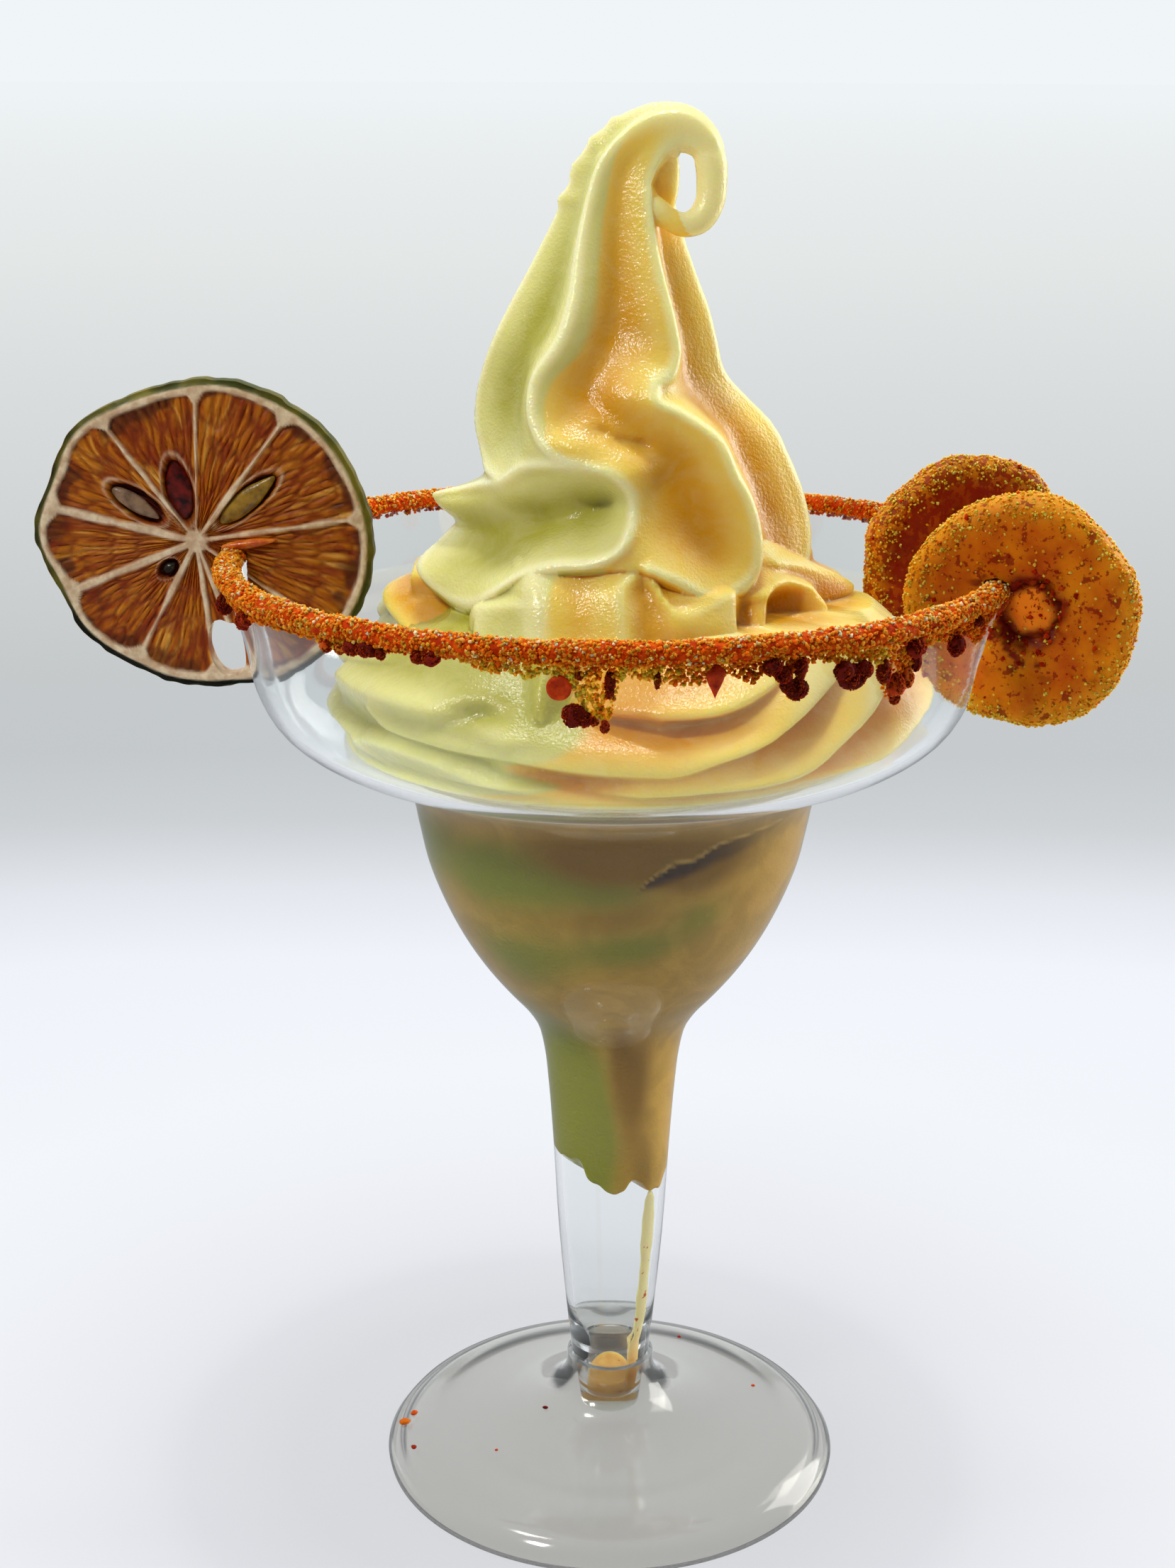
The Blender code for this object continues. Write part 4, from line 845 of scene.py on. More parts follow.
def coil_radius(angle, height):
    """The coil's radius: the outermost of the ribbons that lie on one another there."""
    front, deeper, spread = FRONT_HOLLOW
    floor = COIL_FLOOR + deeper * np.exp(-((angle - front) / spread)**4)
    return (folded(angle, height, COIL_OUTSIDE, floor, COIL_RIBBONS, COIL_RIDGES, COIL_FOLDS)
            + swelling(angle, height, COIL_SWELLS))


def coil(sides, rows):
    """The filling of the stem and bowl, and the coil that lies on the saucer: rings and masks."""
    angle, way = ring_ways(sides)
    inside = np.array(smooth_outline(bowl_inside(-IN_WALL), 240))[::-1]
    fine = (inside[:, 1] > 104.5) & (inside[:, 1] < 115.5)
    inside = inside[fine | (np.arange(len(inside)) % 3 == 0)]
    bottom, top = COIL_OUTSIDE[0], COIL_OUTSIDE[-1]
    filling = inside[(inside[:, 1] > FILL_START) & (inside[:, 0] < bottom[1])]
    edge = curve_at(angle, FILL_EDGE) + 0.25 * clouds(np.stack([angle, 0 * angle], -1), 7.0, 3)
    stem = float(np.interp(FILL_START - 4.0, inside[:, 1], inside[:, 0]))
    made = [way * stem * share
            + polar(0.0, angle, FILL_BOTTOM + (edge - FILL_BOTTOM) * share**2 + rise)
            for share, rise in ((0.45, 0.1), (0.7, 0.1), (0.88, 0.15), (0.97, 0.35), (1.0, 0.9))]
    made += [way * r + (0, 0, z) for r, z in filling]
    hollows = [np.zeros(sides)] * len(made)
    for height in np.linspace(bottom[0], top[0], rows):
        lift = min(1.0, (height - bottom[0]) / 3.0)
        radius = (1 - lift) * bottom[1] + lift * coil_radius(angle, np.full(sides, height))
        made.append(way * np.minimum(radius, COIL_REACH)[:, None] + (COIL_SHIFT * lift, 0, height))
        # depth under the lips, which the finish turns into painted shade in the hollows and a painted
        # highlight near the crests
        hollows.append(np.clip(curve_at(height, COIL_OUTSIDE) - radius, 0, 8) * 1.1 + 0.5)
    # the top cap counts as a deep hollow, for painted shade
    made.append(made[-1] * (0.5, 0.5, 1) + (COIL_SHIFT * 0.5, 0, 0.5))
    hollows.append(np.full(sides, 3.0))
    limes = [lime_share(angle, COIL_LIME, curve_at(ring[:, 2], COIL_MEETING), 5.0)
             for ring in made]
    return made, limes, hollows


def apply_modifiers(thing):
    bpy.context.view_layer.update()
    evaluated = thing.evaluated_get(bpy.context.evaluated_depsgraph_get())
    mesh = bpy.data.meshes.new_from_object(evaluated)
    thing.modifiers.clear()
    thing.data = mesh


def combine(base, pieces, operation="UNION"):
    """base joined with the pieces, or cut by them, which are then removed."""
    group = bpy.data.collections.new(base.name + "_pieces")
    bpy.context.scene.collection.children.link(group)
    for piece in pieces:
        bpy.context.scene.collection.objects.unlink(piece)
        group.objects.link(piece)
    join = base.modifiers.new("join", "BOOLEAN")
    join.operation = operation
    join.operand_type = "COLLECTION"
    join.collection = group
    join.solver = "MANIFOLD"
    apply_modifiers(base)
    for piece in pieces:
        bpy.data.objects.remove(piece, do_unlink=True)
    bpy.data.collections.remove(group)


def coat(thing, finish):
    """Gives a joined piece its one finish, smooth all over."""
    thing.data.materials.clear()
    thing.data.materials.append(finish.material)
    thing.data.shade_smooth()


def frozen_finish():
    """Soft frozen drink in two flavours, with fine wet grain; its colour is deepened in the hollows as
    painted shade and paled along the crests as a painted highlight.
    """
    made = Finish("frozen_drink", Subsurface_Weight=1.0, Subsurface_Scale=0.0019, IOR=1.36,
                  Specular_IOR_Level=0.8)
    made.shader.inputs["Subsurface Radius"].default_value = (1.0, 0.78, 0.18)
    drift = made.math("MULTIPLY_ADD", made.noise(9.0, 3.0), 0.34, -0.17)
    lime = made.between(made.math("ADD", made.mask("lime"), drift), 0.15, 0.85)
    # crest: painted highlight, a paler colour where the drink lies close to its crests
    crest = made.between(made.mask("hollow"), 0.0, 1.1)
    # deep: painted shade, a darker and more saturated colour deep in the hollows
    deep = made.between(made.mask("hollow"), 0.8, 4.6)
    # each flavour: painted highlight on the crests, its own colour on the faces, painted shade in the
    # hollows
    orange = made.mix(deep, made.mix(crest, tone(255, 238, 172), tone(252, 216, 100)),
                      tone(224, 160, 0))
    green = made.mix(deep, made.mix(crest, tone(246, 240, 188), tone(229, 224, 142)),
                     tone(178, 172, 50))
    colour = made.mix(lime, orange, green)
    streaks = made.between(made.noise(5.0, 3.0, 0.55, 1.2), 0.35, 0.75)
    colour = made.mix(made.math("MULTIPLY", streaks, 0.14), colour, tone(252, 240, 190))
    inside = made.mix(made.between(made.noise(7.0, 3.0, 0.5, 0.8), 0.36, 0.66),
                      tone(208, 168, 72), tone(190, 154, 62))
    inside = made.mix(made.mask("low_green"), inside, tone(148, 148, 46))
    inside = made.mix(made.mask("low_amber"), inside, tone(154, 114, 16))
    # painted shade where the air pocket is, and a painted highlight along its upper edge
    inside = made.mix(made.mask("pocket_shade"), inside, tone(74, 46, 6))
    inside = made.mix(made.mask("pocket_highlight"), inside, tone(226, 190, 104))
    colour = made.mix(made.mask("low"), colour, inside)
    made.feed(made.shader, {"Base Color": colour})
    made.feed(made.shader, {"Roughness": made.add("MapRange", {
        "Value": made.noise(1.2, 3.0), "To Min": 0.08, "To Max": 0.34}).outputs[0]})
    made.relief(made.group(WET_GRAIN, Grain=0.45, Ripple=1.5)["Height"], 0.6, 0.36)
    return made


def drink_masks(at):
    """Tints of the drink seen through the glass, and the painted shade and painted highlight of its
    air pocket, at points from the glass's axis.
    """
    angle = np.degrees(np.arctan2(at[:, 0], -at[:, 1]))
    height = at[:, 2] + 1.2 * clouds(at, 9.0, 2)
    turn = angle + 8.0 * clouds(at, 12.0, 4)
    green, amber = (smoothstep(swelling(turn, height, patches), 0.1, 0.9)
                    for patches in (LOW_GREEN, LOW_AMBER))
    low_edge, high_edge = (curve_at(angle, AIR_POCKET, k) for k in (1, 2))
    inside = (angle > AIR_POCKET[0][0]) & (angle < AIR_POCKET[-1][0])
    fade = 1 - smoothstep(angle, 20.0, 50.0)
    upper = high_edge - at[:, 2]
    lower = at[:, 2] - low_edge
    # painted shade over the air pocket, and a painted highlight along its upper edge
    pocket_shade = inside * smoothstep(upper, 0.0, 0.3) * smoothstep(lower, -0.2, 1.6)
    pocket_shade = pocket_shade * (0.25 + 0.75 * fade)
    edge = inside * np.exp(-(upper / 0.28)**2) * smoothstep(angle, 6.5, 12.0)
    return {"low": 1 - smoothstep(at[:, 2], 118.5, 122.0), "low_green": green, "low_amber": amber,
            "pocket_shade": pocket_shade, "pocket_highlight": 0.7 * edge}


def frozen_swirl(finish):
    parts = [coil(COIL_SIDES, COIL_ROWS), peak(PEAK_SIDES, PEAK_ROWS), tier(TIER_SIDES, TIER_ROWS)]
    drink = closed_loft("frozen_swirl", parts[0][0])
    pieces = [closed_loft("part", rows) for rows, _, _ in parts[1:]]
    pieces.append(closed_loft("part", hook_end()))
    web = piece_from("part", *lumpy_ball(*HOOK_WEB, 0.0, 4, 0.02, 5))
    recalculate(web)
    pieces.append(web)
    combine(drink, pieces)
    known = [np.concatenate([np.ravel(p[k]) if k else np.concatenate(p[0]) for p in parts])
             for k in range(3)]
    tree = nearest_tree(known[0])
    at = points_of(drink)
    nearest = [tree.find(p)[1] for p in at]
    # hollow carries the depth under the crests, for painted shade and painted highlight; drink_masks
    # adds the air pocket's painted shade and painted highlight
    carry(drink, lime=known[1][nearest], hollow=known[2][nearest], **drink_masks(at))
    coat(drink, finish)
    return shown(drink, "frozen_drink", "frozen_margarita")


def clear_finish(name, tint, rough):
    """Clear plastic that lets lamps through, with faint waves in it and a painted glow where it is
    seen edge-on.
    """
    made = Finish(name, Base_Color=tint, Roughness=rough, Transmission_Weight=1.0, IOR=1.49)
    made.relief(made.noise(14.0, 1.0), 0.06, 0.4)
    # painted glow: the plastic emits pale light where it is seen edge-on, standing in for its sheen at
    # grazing angles
    edge = made.math("POWER", made.add("LayerWeight", {"Blend": 0.3}).outputs["Facing"], 3.0)
    made.feed(made.shader, {"Emission Color": made.mix(edge, tone(0, 0, 0), tone(226, 232, 236)),
                            "Emission Strength": 0.35})
    clear = made.add("BsdfTransparent", {"Color": tone(236, 240, 240)})
    lamp = made.add("LightPath").outputs["Is Shadow Ray"]
    mixed = made.add("MixShader", {0: lamp, 1: made.shader.outputs[0], 2: clear.outputs[0]})
    made.feed(made.tree.nodes["Material Output"], {"Surface": mixed.outputs[0]})
    return made


def smooth_stretch(points, spacing):
    """A smooth curve through the points, one point for each spacing."""
    table = along_table(points)
    return smooth_outline(points, max(2, round(table[-1][0] / spacing)))


def glass_bowl(finish):
    spacing = 1.6
    inside = smooth_stretch(bowl_inside()[::-1], spacing)
    outside = smooth_stretch(BOWL_OUTSIDE, spacing)
    lip = [(RIM_RADIUS - 0.8 * WALL, RIM_HEIGHT + 0.12), (RIM_RADIUS - 0.5 * WALL, RIM_HEIGHT + 0.2),
           (RIM_RADIUS - 0.2 * WALL, RIM_HEIGHT + 0.12)]
    profile = [*reversed(PLUG_INSIDE), *inside, *lip, *outside, *PLUG]
    bowl = turned("clear_bowl", profile, GLASS_SIDES, False, finish)
    bowl.data.set_sharp_from_angle(angle=math.radians(50))
    return shown(bowl, "clear_plastic", "glass_bowl")


def glass_foot(finish):
    spacing = 1.2
    profile = [*smooth_stretch(FOOT_OUTSIDE[:-1], spacing), FOOT_OUTSIDE[-1],
               *smooth_stretch(FOOT_INSIDE, spacing)]
    foot = turned("clear_foot", profile, GLASS_SIDES, True, finish)
    foot.data.set_sharp_from_angle(angle=math.radians(50))
    return shown(foot, "clear_plastic", "glass_foot")


def melt_finish():
    made = Finish("melted_drink", Roughness=0.18, Subsurface_Weight=0.8, Subsurface_Scale=0.002,
                  IOR=1.36)
    made.shader.inputs["Subsurface Radius"].default_value = (1.0, 0.7, 0.3)
    colour = made.ramp(made.noise(3.0, 3.0), (0.3, tone(196, 140, 60)), (0.7, tone(220, 176, 96)))
    height = made.add("SeparateXYZ", {0: made.place()}).outputs["Z"]
    colour = made.mix(made.between(height, 0.015, 0.024), colour, tone(214, 204, 160))
    spot = made.group(SPECKLE, Size=1.8, Share=0.2)["Mask"]
    made.feed(made.shader, {"Base Color": made.mix(spot, colour, tone(170, 76, 30))})
    made.relief(made.group(WET_GRAIN, Grain=0.5, Ripple=1.6)["Height"], 0.3, 0.3)
    return made


def stem_melt(finish):
    """A pool in the plug, and the streak down the wall that fed it."""
    a = math.radians(TRICKLE_ANGLE)
    wall = np.concatenate([np.array(PLUG_INSIDE)[::-1], bowl_inside(-IN_WALL)[::-1]])
    heights = np.linspace(POOL_TOP - 2.0, TRICKLE_TOP, 60)
    rows = []
    for z in heights:
        share = (TRICKLE_TOP - z) / (TRICKLE_TOP - heights[0])
        r = float(np.interp(z, wall[:, 1], wall[:, 0])) + IN_WALL
        half = 0.5 * (TRICKLE_WIDTH[0] * (1 - share) + TRICKLE_WIDTH[1] * share)
        half *= 1 + 0.12 * math.sin(z * 0.5) + 0.05 * math.sin(z * 1.3 + 1)
        half *= min(1.0, 0.3 + (TRICKLE_TOP - z) * 0.5)
        around = np.linspace(0, 2 * math.pi, 25)[:-1]
        thick = min(TRICKLE_THICKNESS, r * 0.3)
        turn = a + np.sin(around) * half / r
        radius = r - thick * (0.5 - 0.5 * np.cos(around))
        rows.append(polar(radius, turn, z))
    streak = closed_loft("streak", rows)
    top = [(POOL_RADIUS, POOL_TOP + 0.3), (POOL_RADIUS - 0.5, POOL_TOP - 0.1),
           (POOL_RADIUS - 1.4, POOL_TOP - 0.35), (0.0, POOL_TOP - 0.5)]
    pool = turned("stem_pool", [(0.0, POOL_BOTTOM - 0.9), (POOL_RADIUS, POOL_BOTTOM - 0.2),
                                (POOL_RADIUS + 0.35, POOL_BOTTOM + 1.4), *top], 48, False)
    recalculate(pool)
    combine(pool, [streak])
    coat(pool, finish)
    return shown(pool, "melted_drink", "stem_melt")


# Crystals and crumbs
CUBE = np.array(list(itertools.product((-1, 1), repeat=3)), float)
CUBE_FACES = np.array([(0, 1, 3, 2), (4, 6, 7, 5), (0, 4, 5, 1), (2, 3, 7, 6), (0, 2, 6, 4),
                       (1, 5, 7, 3)])


def random_turns(draw, count):
    """count random rotations."""
    w, x, y, z = (lambda q: q / np.linalg.norm(q, axis=0))(draw.normal(size=(4, count)))
    return np.array([[1 - 2 * (y * y + z * z), 2 * (x * y - w * z), 2 * (x * z + w * y)],
                     [2 * (x * y + w * z), 1 - 2 * (x * x + z * z), 2 * (y * z - w * x)],
                     [2 * (x * z - w * y), 2 * (y * z + w * x), 1 - 2 * (x * x + y * y)]]
                    ).transpose(2, 0, 1)


def crystals(name, places, sizes, tones, finish, seed, smooth=False):
    """Many small uneven crystals as one mesh, each with its own tone."""
    draw = np.random.default_rng(seed)
    count = len(places)
    corners = CUBE[None] * draw.uniform(0.5, 1.05, (count, 8, 1)) * np.asarray(sizes)[:, None, None]
    corners = corners * draw.uniform(0.75, 1.2, (count, 1, 3))
    turned_corners = np.einsum("nij,nkj->nki", random_turns(draw, count), corners)
    vertices = np.asarray(places)[:, None] + turned_corners
    faces = (CUBE_FACES[None] + 8 * np.arange(count)[:, None, None]).reshape(-1, 4)
    thing = piece_from(name, vertices.reshape(-1, 3), faces, finish, smooth)
    carry(thing, tone=np.repeat(tones, 8))
    return thing


def crust_finish():
    """The chili paste that the grains sit in, kept dark as painted shade for the gaps between the
    grains.
    """
    made = Finish("chili_salt", Roughness=0.6, Subsurface_Weight=0.4, Subsurface_Scale=0.0012,
                  Specular_IOR_Level=0.05)
    # dark reds: painted shade in the gaps between the grains, over the paste's own chili colour
    colour = made.ramp(made.noise(1.6, 4.0, 0.6), (0.3, tone(150, 26, 0)), (0.5, tone(200, 60, 0)),
                       (0.7, tone(226, 96, 8)))
    made.feed(made.shader, {"Base Color": colour})
    made.relief(made.noise(0.45, 3.0, 0.6), 0.8, 0.4)
    return made


def grain_finish(name, *stops, rough=0.5, glow=0.8):
    """Crystals whose colour follows their own tone."""
    made = Finish(name, Roughness=rough, IOR=1.5, Subsurface_Weight=glow, Subsurface_Scale=0.0014,
                  Specular_IOR_Level=0.06)
    made.shader.inputs["Subsurface Radius"].default_value = (1.0, 0.3, 0.06)
    colour = made.ramp(made.mask("tone"), *stops)
    dust = made.noise(1.4, 2.0)
    colour = made.mix(made.math("MULTIPLY", made.between(dust, 0.5, 0.8), 0.4), colour,
                      tone(190, 62, 10))
    made.feed(made.shader, {"Base Color": colour})
    return made


def crust_band(finish):
    section = smooth_outline([*CRUST_SECTION, CRUST_SECTION[0]], CRUST_POINTS + 1)[:-1]
    away = section - section.mean(0)
    away /= np.linalg.norm(away, axis=1, keepdims=True)
    fixed = np.exp(-((np.linalg.norm(section - CRUST_WALL[:2], axis=1) / CRUST_WALL[2])**4))
    angle = np.arange(CRUST_SIDES) * 360.0 / CRUST_SIDES
    a = np.radians(angle)
    rows = []
    for k, (r, z) in enumerate(section):
        flat = polar(r, a, z)
        push = 0.22 * clouds(flat, 4.0, 3) + 0.16 * clouds(flat, 1.5, 5) + 0.14 * clouds(flat, 0.7, 7)
        push *= 1 - fixed[k]
        rows.append(polar(r + away[k, 0] * push, a, z + away[k, 1] * push))
    thing = piece_from("chili_crust", np.concatenate(rows),
                       grid_faces(CRUST_POINTS, CRUST_SIDES, True), finish)
    recalculate(thing)
    return shown(thing, "chili_salt", "rim_crust"), section, away


def crust_grains(section, away, finishes):
    """Salt grains all over the band, and the crumbs that hang below it outside."""
    draw = np.random.default_rng(5)
    length = np.linalg.norm(np.roll(section, -1, 0) - section, axis=1)
    free = np.linalg.norm(section - CRUST_WALL[:2], axis=1) > CRUST_WALL[2] + 0.1
    k = draw.choice(len(section), GRAIN_COUNT, p=length * free / (length * free).sum())
    turn = draw.uniform(-180, 180, GRAIN_COUNT)
    a = np.radians(turn)
    flat = polar(RIM_RADIUS, a, section[k, 1])
    out = draw.uniform(-0.12, 0.2, GRAIN_COUNT) + 0.22 * clouds(flat, 4.0, 3)
    slide = draw.uniform(-0.5, 0.5, GRAIN_COUNT)
    along = (np.roll(section, -1, 0) - section)[k] * slide[:, None]
    r = section[k, 0] + away[k, 0] * out + along[:, 0]
    z = section[k, 1] + away[k, 1] * out + along[:, 1]
    places = polar(r, a, z)
    top = smoothstep(z, 148.4, 149.6)
    pale = 0.5 + 0.5 * clouds(flat, 9.0, 21)
    tones = np.clip(draw.normal(0.42, 0.15, GRAIN_COUNT) + 0.16 * top
                    + 0.4 * (draw.uniform(size=GRAIN_COUNT) < 0.05 + 0.2 * top * pale), 0, 1)
    grains = crystals("salt_grains", places, draw.uniform(0.14, 0.27, GRAIN_COUNT), tones,
                      finishes[0], 11)
    shown(grains, "chili_salt")

    angle = draw.uniform(-180, 180, CRUMB_COUNT * 4)
    lowest = np.interp(angle, [f[0] for f in CRUST_FRINGE], [f[1] for f in CRUST_FRINGE])
    yellow = np.interp(angle, [f[0] for f in CRUST_FRINGE], [f[2] for f in CRUST_FRINGE])
    depth = CRUST_EDGE - lowest
    keep = draw.uniform(0, 4.5, len(angle)) < depth
    angle, depth, yellow = (v[keep][:CRUMB_COUNT] for v in (angle, depth, yellow))
    count = len(angle)
    share = draw.uniform(0, 1, count)
    z = CRUST_EDGE - depth * share
    r = outside_radius(z) + draw.uniform(0.12, 0.9, count) * (1.0 - 0.35 * share)
    places = polar(r, np.radians(angle), z)
    middle = 0.18 + 0.62 * yellow * smoothstep(share, 0.0, 0.4)
    tones = np.clip(draw.normal(middle, 0.13, count), 0, 1)
    crumbs = crystals("chili_crumbs", places, draw.uniform(0.15, 0.33, count), tones, finishes[1],
                      12)
    shown(crumbs, "chili_salt")


def lumpy_ball(centre, radii, turn, divisions, rough, seed):
    """An uneven ball: its vertices and triangles."""
    made = bmesh.new()
    bmesh.ops.create_icosphere(made, subdivisions=divisions, radius=1.0)
    made.verts.ensure_lookup_table()
    unit = np.array([v.co for v in made.verts])
    faces = np.array([[v.index for v in f.verts] for f in made.faces])
    made.free()
    bumps = clouds(unit + seed, 0.7, seed) + 0.6 * clouds(unit + seed, 0.3, seed)
    flat = unit * (1 + rough * bumps)[:, None] * np.asarray(radii)
    c, s = math.cos(turn), math.sin(turn)
    spun = np.stack([c * flat[:, 0] - s * flat[:, 1], s * flat[:, 0] + c * flat[:, 1], flat[:, 2]], -1)
    return spun + np.asarray(centre), faces


def gather(name, balls, finish, tones=None, smooth=True):
    """Several balls as one mesh, each with its own tone."""
    vertices, faces, start = [], [], 0
    for v, f in balls:
        vertices.append(v)
        faces.append(f + start)
        start += len(v)
    thing = piece_from(name, np.concatenate(vertices), np.concatenate(faces), finish, smooth)
    if tones is not None:
        carry(thing, tone=np.concatenate([np.full(len(v), t) for (v, _), t in zip(balls, tones)]))
    return thing


def lump_finish():
    made = Finish("dark_chili", Roughness=0.6, Subsurface_Weight=0.6, Subsurface_Scale=0.0016,
                  Specular_IOR_Level=0.12)
    made.shader.inputs["Subsurface Radius"].default_value = (1.0, 0.3, 0.1)
    cloud = made.math("MULTIPLY_ADD", made.noise(1.1, 3.0), 0.7, -0.35)
    colour = made.ramp(made.math("ADD", made.mask("tone"), cloud), (0.0, tone(222, 120, 20)),
                       (0.35, tone(196, 64, 6)), (0.65, tone(136, 20, 0)), (1.0, tone(82, 8, 0)))
    made.feed(made.shader, {"Base Color": colour})
    made.relief(made.noise(0.5, 3.0), 0.6, 0.3)
    return made


def at_rim(angle, height, out):
    """A place outside the saucer's wall."""
    return polar(float(outside_radius(height)) + out, math.radians(angle), height)


def lump_grains(finish):
    """Grains stuck to each lump."""
    draw = np.random.default_rng(14)
    places, tones = [], []
    for angle, z, width, drop, dark in CRUST_LUMPS:
        count = int(110 * (width + drop))
        way = draw.normal(size=(count, 3))
        way /= np.linalg.norm(way, axis=1, keepdims=True)
        flat = min(width, LUMP_DEPTH)
        places.append(turned_by(way * (width, flat, drop), angle)
                      + at_rim(angle, z, flat * 0.9 + 0.1))
        tones.append(np.clip(draw.normal(0.26 - 0.24 * dark, 0.12, count), 0, 1))
    places = np.concatenate(places)
    sizes = draw.uniform(0.07, 0.16, len(places))
    grains = crystals("lump_grains", places, sizes, np.concatenate(tones), finish, 15)
    return shown(grains, "chili_salt")


def crust_lumps(finish):
    balls, tones = [], []
    for k, (angle, z, width, drop, dark) in enumerate(CRUST_LUMPS):
        flat = min(width, LUMP_DEPTH)
        balls.append(lumpy_ball(at_rim(angle, z, flat * 0.9 + 0.1), (width, flat, drop),
                                math.radians(angle), 4, 0.24, k + 1))
        tones.append(dark)
    angle, z, radius = FLAT_DISC
    disc, faces = lumpy_ball((0, 0, 0), (radius, 0.5, radius), 0.0, 4, 0.03, 2)
    rim = np.hypot(disc[:, 0], disc[:, 2]) / radius
    disc[:, 1] -= 0.22 * smoothstep(rim, 0.55, 0.8) * (disc[:, 1] < 0)
    balls.append((turned_by(disc, angle) + at_rim(angle, z, 0.7), faces))
    tones.append(0.42)
    angle, top, tip, widest = CONE_DRIP
    cone, faces = lumpy_ball((0, 0, 0), (1, 1, 1), 0.0, 5, 0.03, 4)
    share = (1 - cone[:, 2]) / 2
    width = widest * np.clip(1.25 - 1.2 * share, 0.08, 1)
    cone = np.stack([cone[:, 0] * width, cone[:, 1] * width * 0.6, top + (tip - top) * share], -1)
    cone = turned_by(cone, angle) + at_rim(angle, 144.6, 0.8) * (1, 1, 0)
    balls.append((cone, faces))
    tones.append(0.5)
    return shown(gather("chili_lumps", balls, finish, tones), "chili_salt")


# Dried lime
def lime_radius(angle):
    table = [(20 * k, r) for k, r in enumerate(LIME_RADII)] + [(360, LIME_RADII[0])]
    return curve_at(np.asarray(angle) % 360, table)


def lime_pattern(outward, up, side):
    """Masks of the cut face at points of the slice's plane: height, pith, flesh gaps and tint."""
    x, z = LIME_HUB[0] - outward, up - LIME_HUB[1]
    from_hub = np.hypot(x, z)
    turn = np.degrees(np.arctan2(z, x))
    cx, cz = LIME_CENTRE[0] - outward, up - LIME_CENTRE[1]
    around = np.degrees(np.arctan2(cz, cx))
    from_edge = lime_radius(around) - np.hypot(cx, cz)
    flat = np.stack([x, z], -1)
    wobble = clouds(flat, 5.0, 2 + side) * 0.5
    nearest = np.full(x.shape, 99.0)
    for angle, width in MEMBRANES:
        away = np.radians((turn - angle + 180) % 360 - 180)
        gap = np.abs(np.sin(away)) * from_hub + 99.0 * (np.abs(away) > 1.5)
        nearest = np.minimum(nearest, (gap + wobble * 0.5) / max(width, 0.2) * 0.4 + 9 * (width == 0))
    nearest = np.abs(nearest)
    core = from_hub - 0.9 - 0.4 * wobble
    rind = from_edge - 1.3 - 0.3 * clouds(flat, 3.0, 4 + side)
    corner = 1.7 * np.exp(-(nearest / 1.1)**2)
    flesh = smoothstep(np.minimum.reduce([nearest - 0.14, (core - corner * 0.4) * 0.7,
                                          (rind - corner) * 0.8]), 0.0, 0.4)
    gaps, tint = vesicles(turn, from_hub, flat, side)
    long_ = np.stack([turn / 1.5 + 2 * clouds(flat, 4.0, 6), from_hub / 5.0], -1)
    streak = 0.65 * clouds(long_, 1.0, 5 + side) + 0.45 * clouds(long_ * (3, 2), 1.0, 7)
    tint = np.clip(0.5 + 0.42 * streak + 0.34 * (tint - 0.5), 0, 1)
    burnt = smoothstep(clouds(flat, 2.2, 13) - 0.34 * np.maximum(rind, 0) + 0.75, 0.0, 0.8)
    return flesh, from_edge, (gaps, tint, burnt)


def vesicles(turn, from_hub, flat, side):
    """Juice sacs drawn out from the hub: distance inside each, its own tint, and its rim."""
    bend = clouds(flat, 6.0, 9 + side) * 2.4
    u = np.radians(turn + bend) * 14.0
    v = from_hub / 5.0 + clouds(flat, 3.0, 12 + side) * 0.3
    draw = np.random.default_rng(31 + side)
    seeds, tints = [], []
    for i in range(-52, 53):
        for j in range(-1, 7):
            seeds.append(((i + draw.uniform(-0.35, 0.35)) * 0.86, j + draw.uniform(-0.4, 0.4), 0.0))
            tints.append(draw.uniform())
    tree = nearest_tree(seeds)
    first, second, tint = [], [], []
    for p in zip(u.ravel(), v.ravel()):
        (_, i, d1), (_, _, d2) = tree.find_n((p[0], p[1], 0.0), 2)
        first.append(d1)
        second.append(d2)
        tint.append(tints[i])
    shape = turn.shape
    first, second = np.reshape(first, shape), np.reshape(second, shape)
    return second - first, np.reshape(tint, shape)


# the hollow kind is an empty seed pocket, drawn as a dark red body that stands for its painted shade
SEEDS = (                   # (right of hub, up from hub, half length, half width, tilt, depth, kind)
    (-2.3, 7.6, 4.6, 2.1, 100.0, -0.5, "hollow"), (-8.8, 5.5, 4.0, 1.25, -33.0, 0.25, "pale"),
    (7.7, 6.1, 5.3, 1.6, 40.0, 0.2, "olive"), (-4.2, -4.0, 1.1, 0.75, 38.0, 0.25, "black"),
    (7.7, -0.3, 4.2, 0.7, 8.0, 0.9, "chili"),
)
CAVITIES = ((-2.3, 7.4, 5.2, 2.2, 102.0), (-8.6, 5.6, 5.0, 2.1, -33.0), (7.8, 6.2, 5.9, 2.0, 40.0),
            (-4.4, -4.2, 1.9, 1.4, 38.0))


def oval_reach(outward, up, hollows):
    """How far from the middle of the nearest of some tilted ovals, 1 being its edge."""
    nearest = np.full(np.shape(outward), 9.0)
    for x, z, long_, wide, tilt in hollows:
        dx, dz = LIME_HUB[0] - outward - x, up - LIME_HUB[1] - z
        c, s = math.cos(math.radians(tilt)), math.sin(math.radians(tilt))
        reach = np.hypot((dx * c + dz * s) / long_, (-dx * s + dz * c) / wide)
        nearest = np.minimum(nearest, reach)
    return nearest


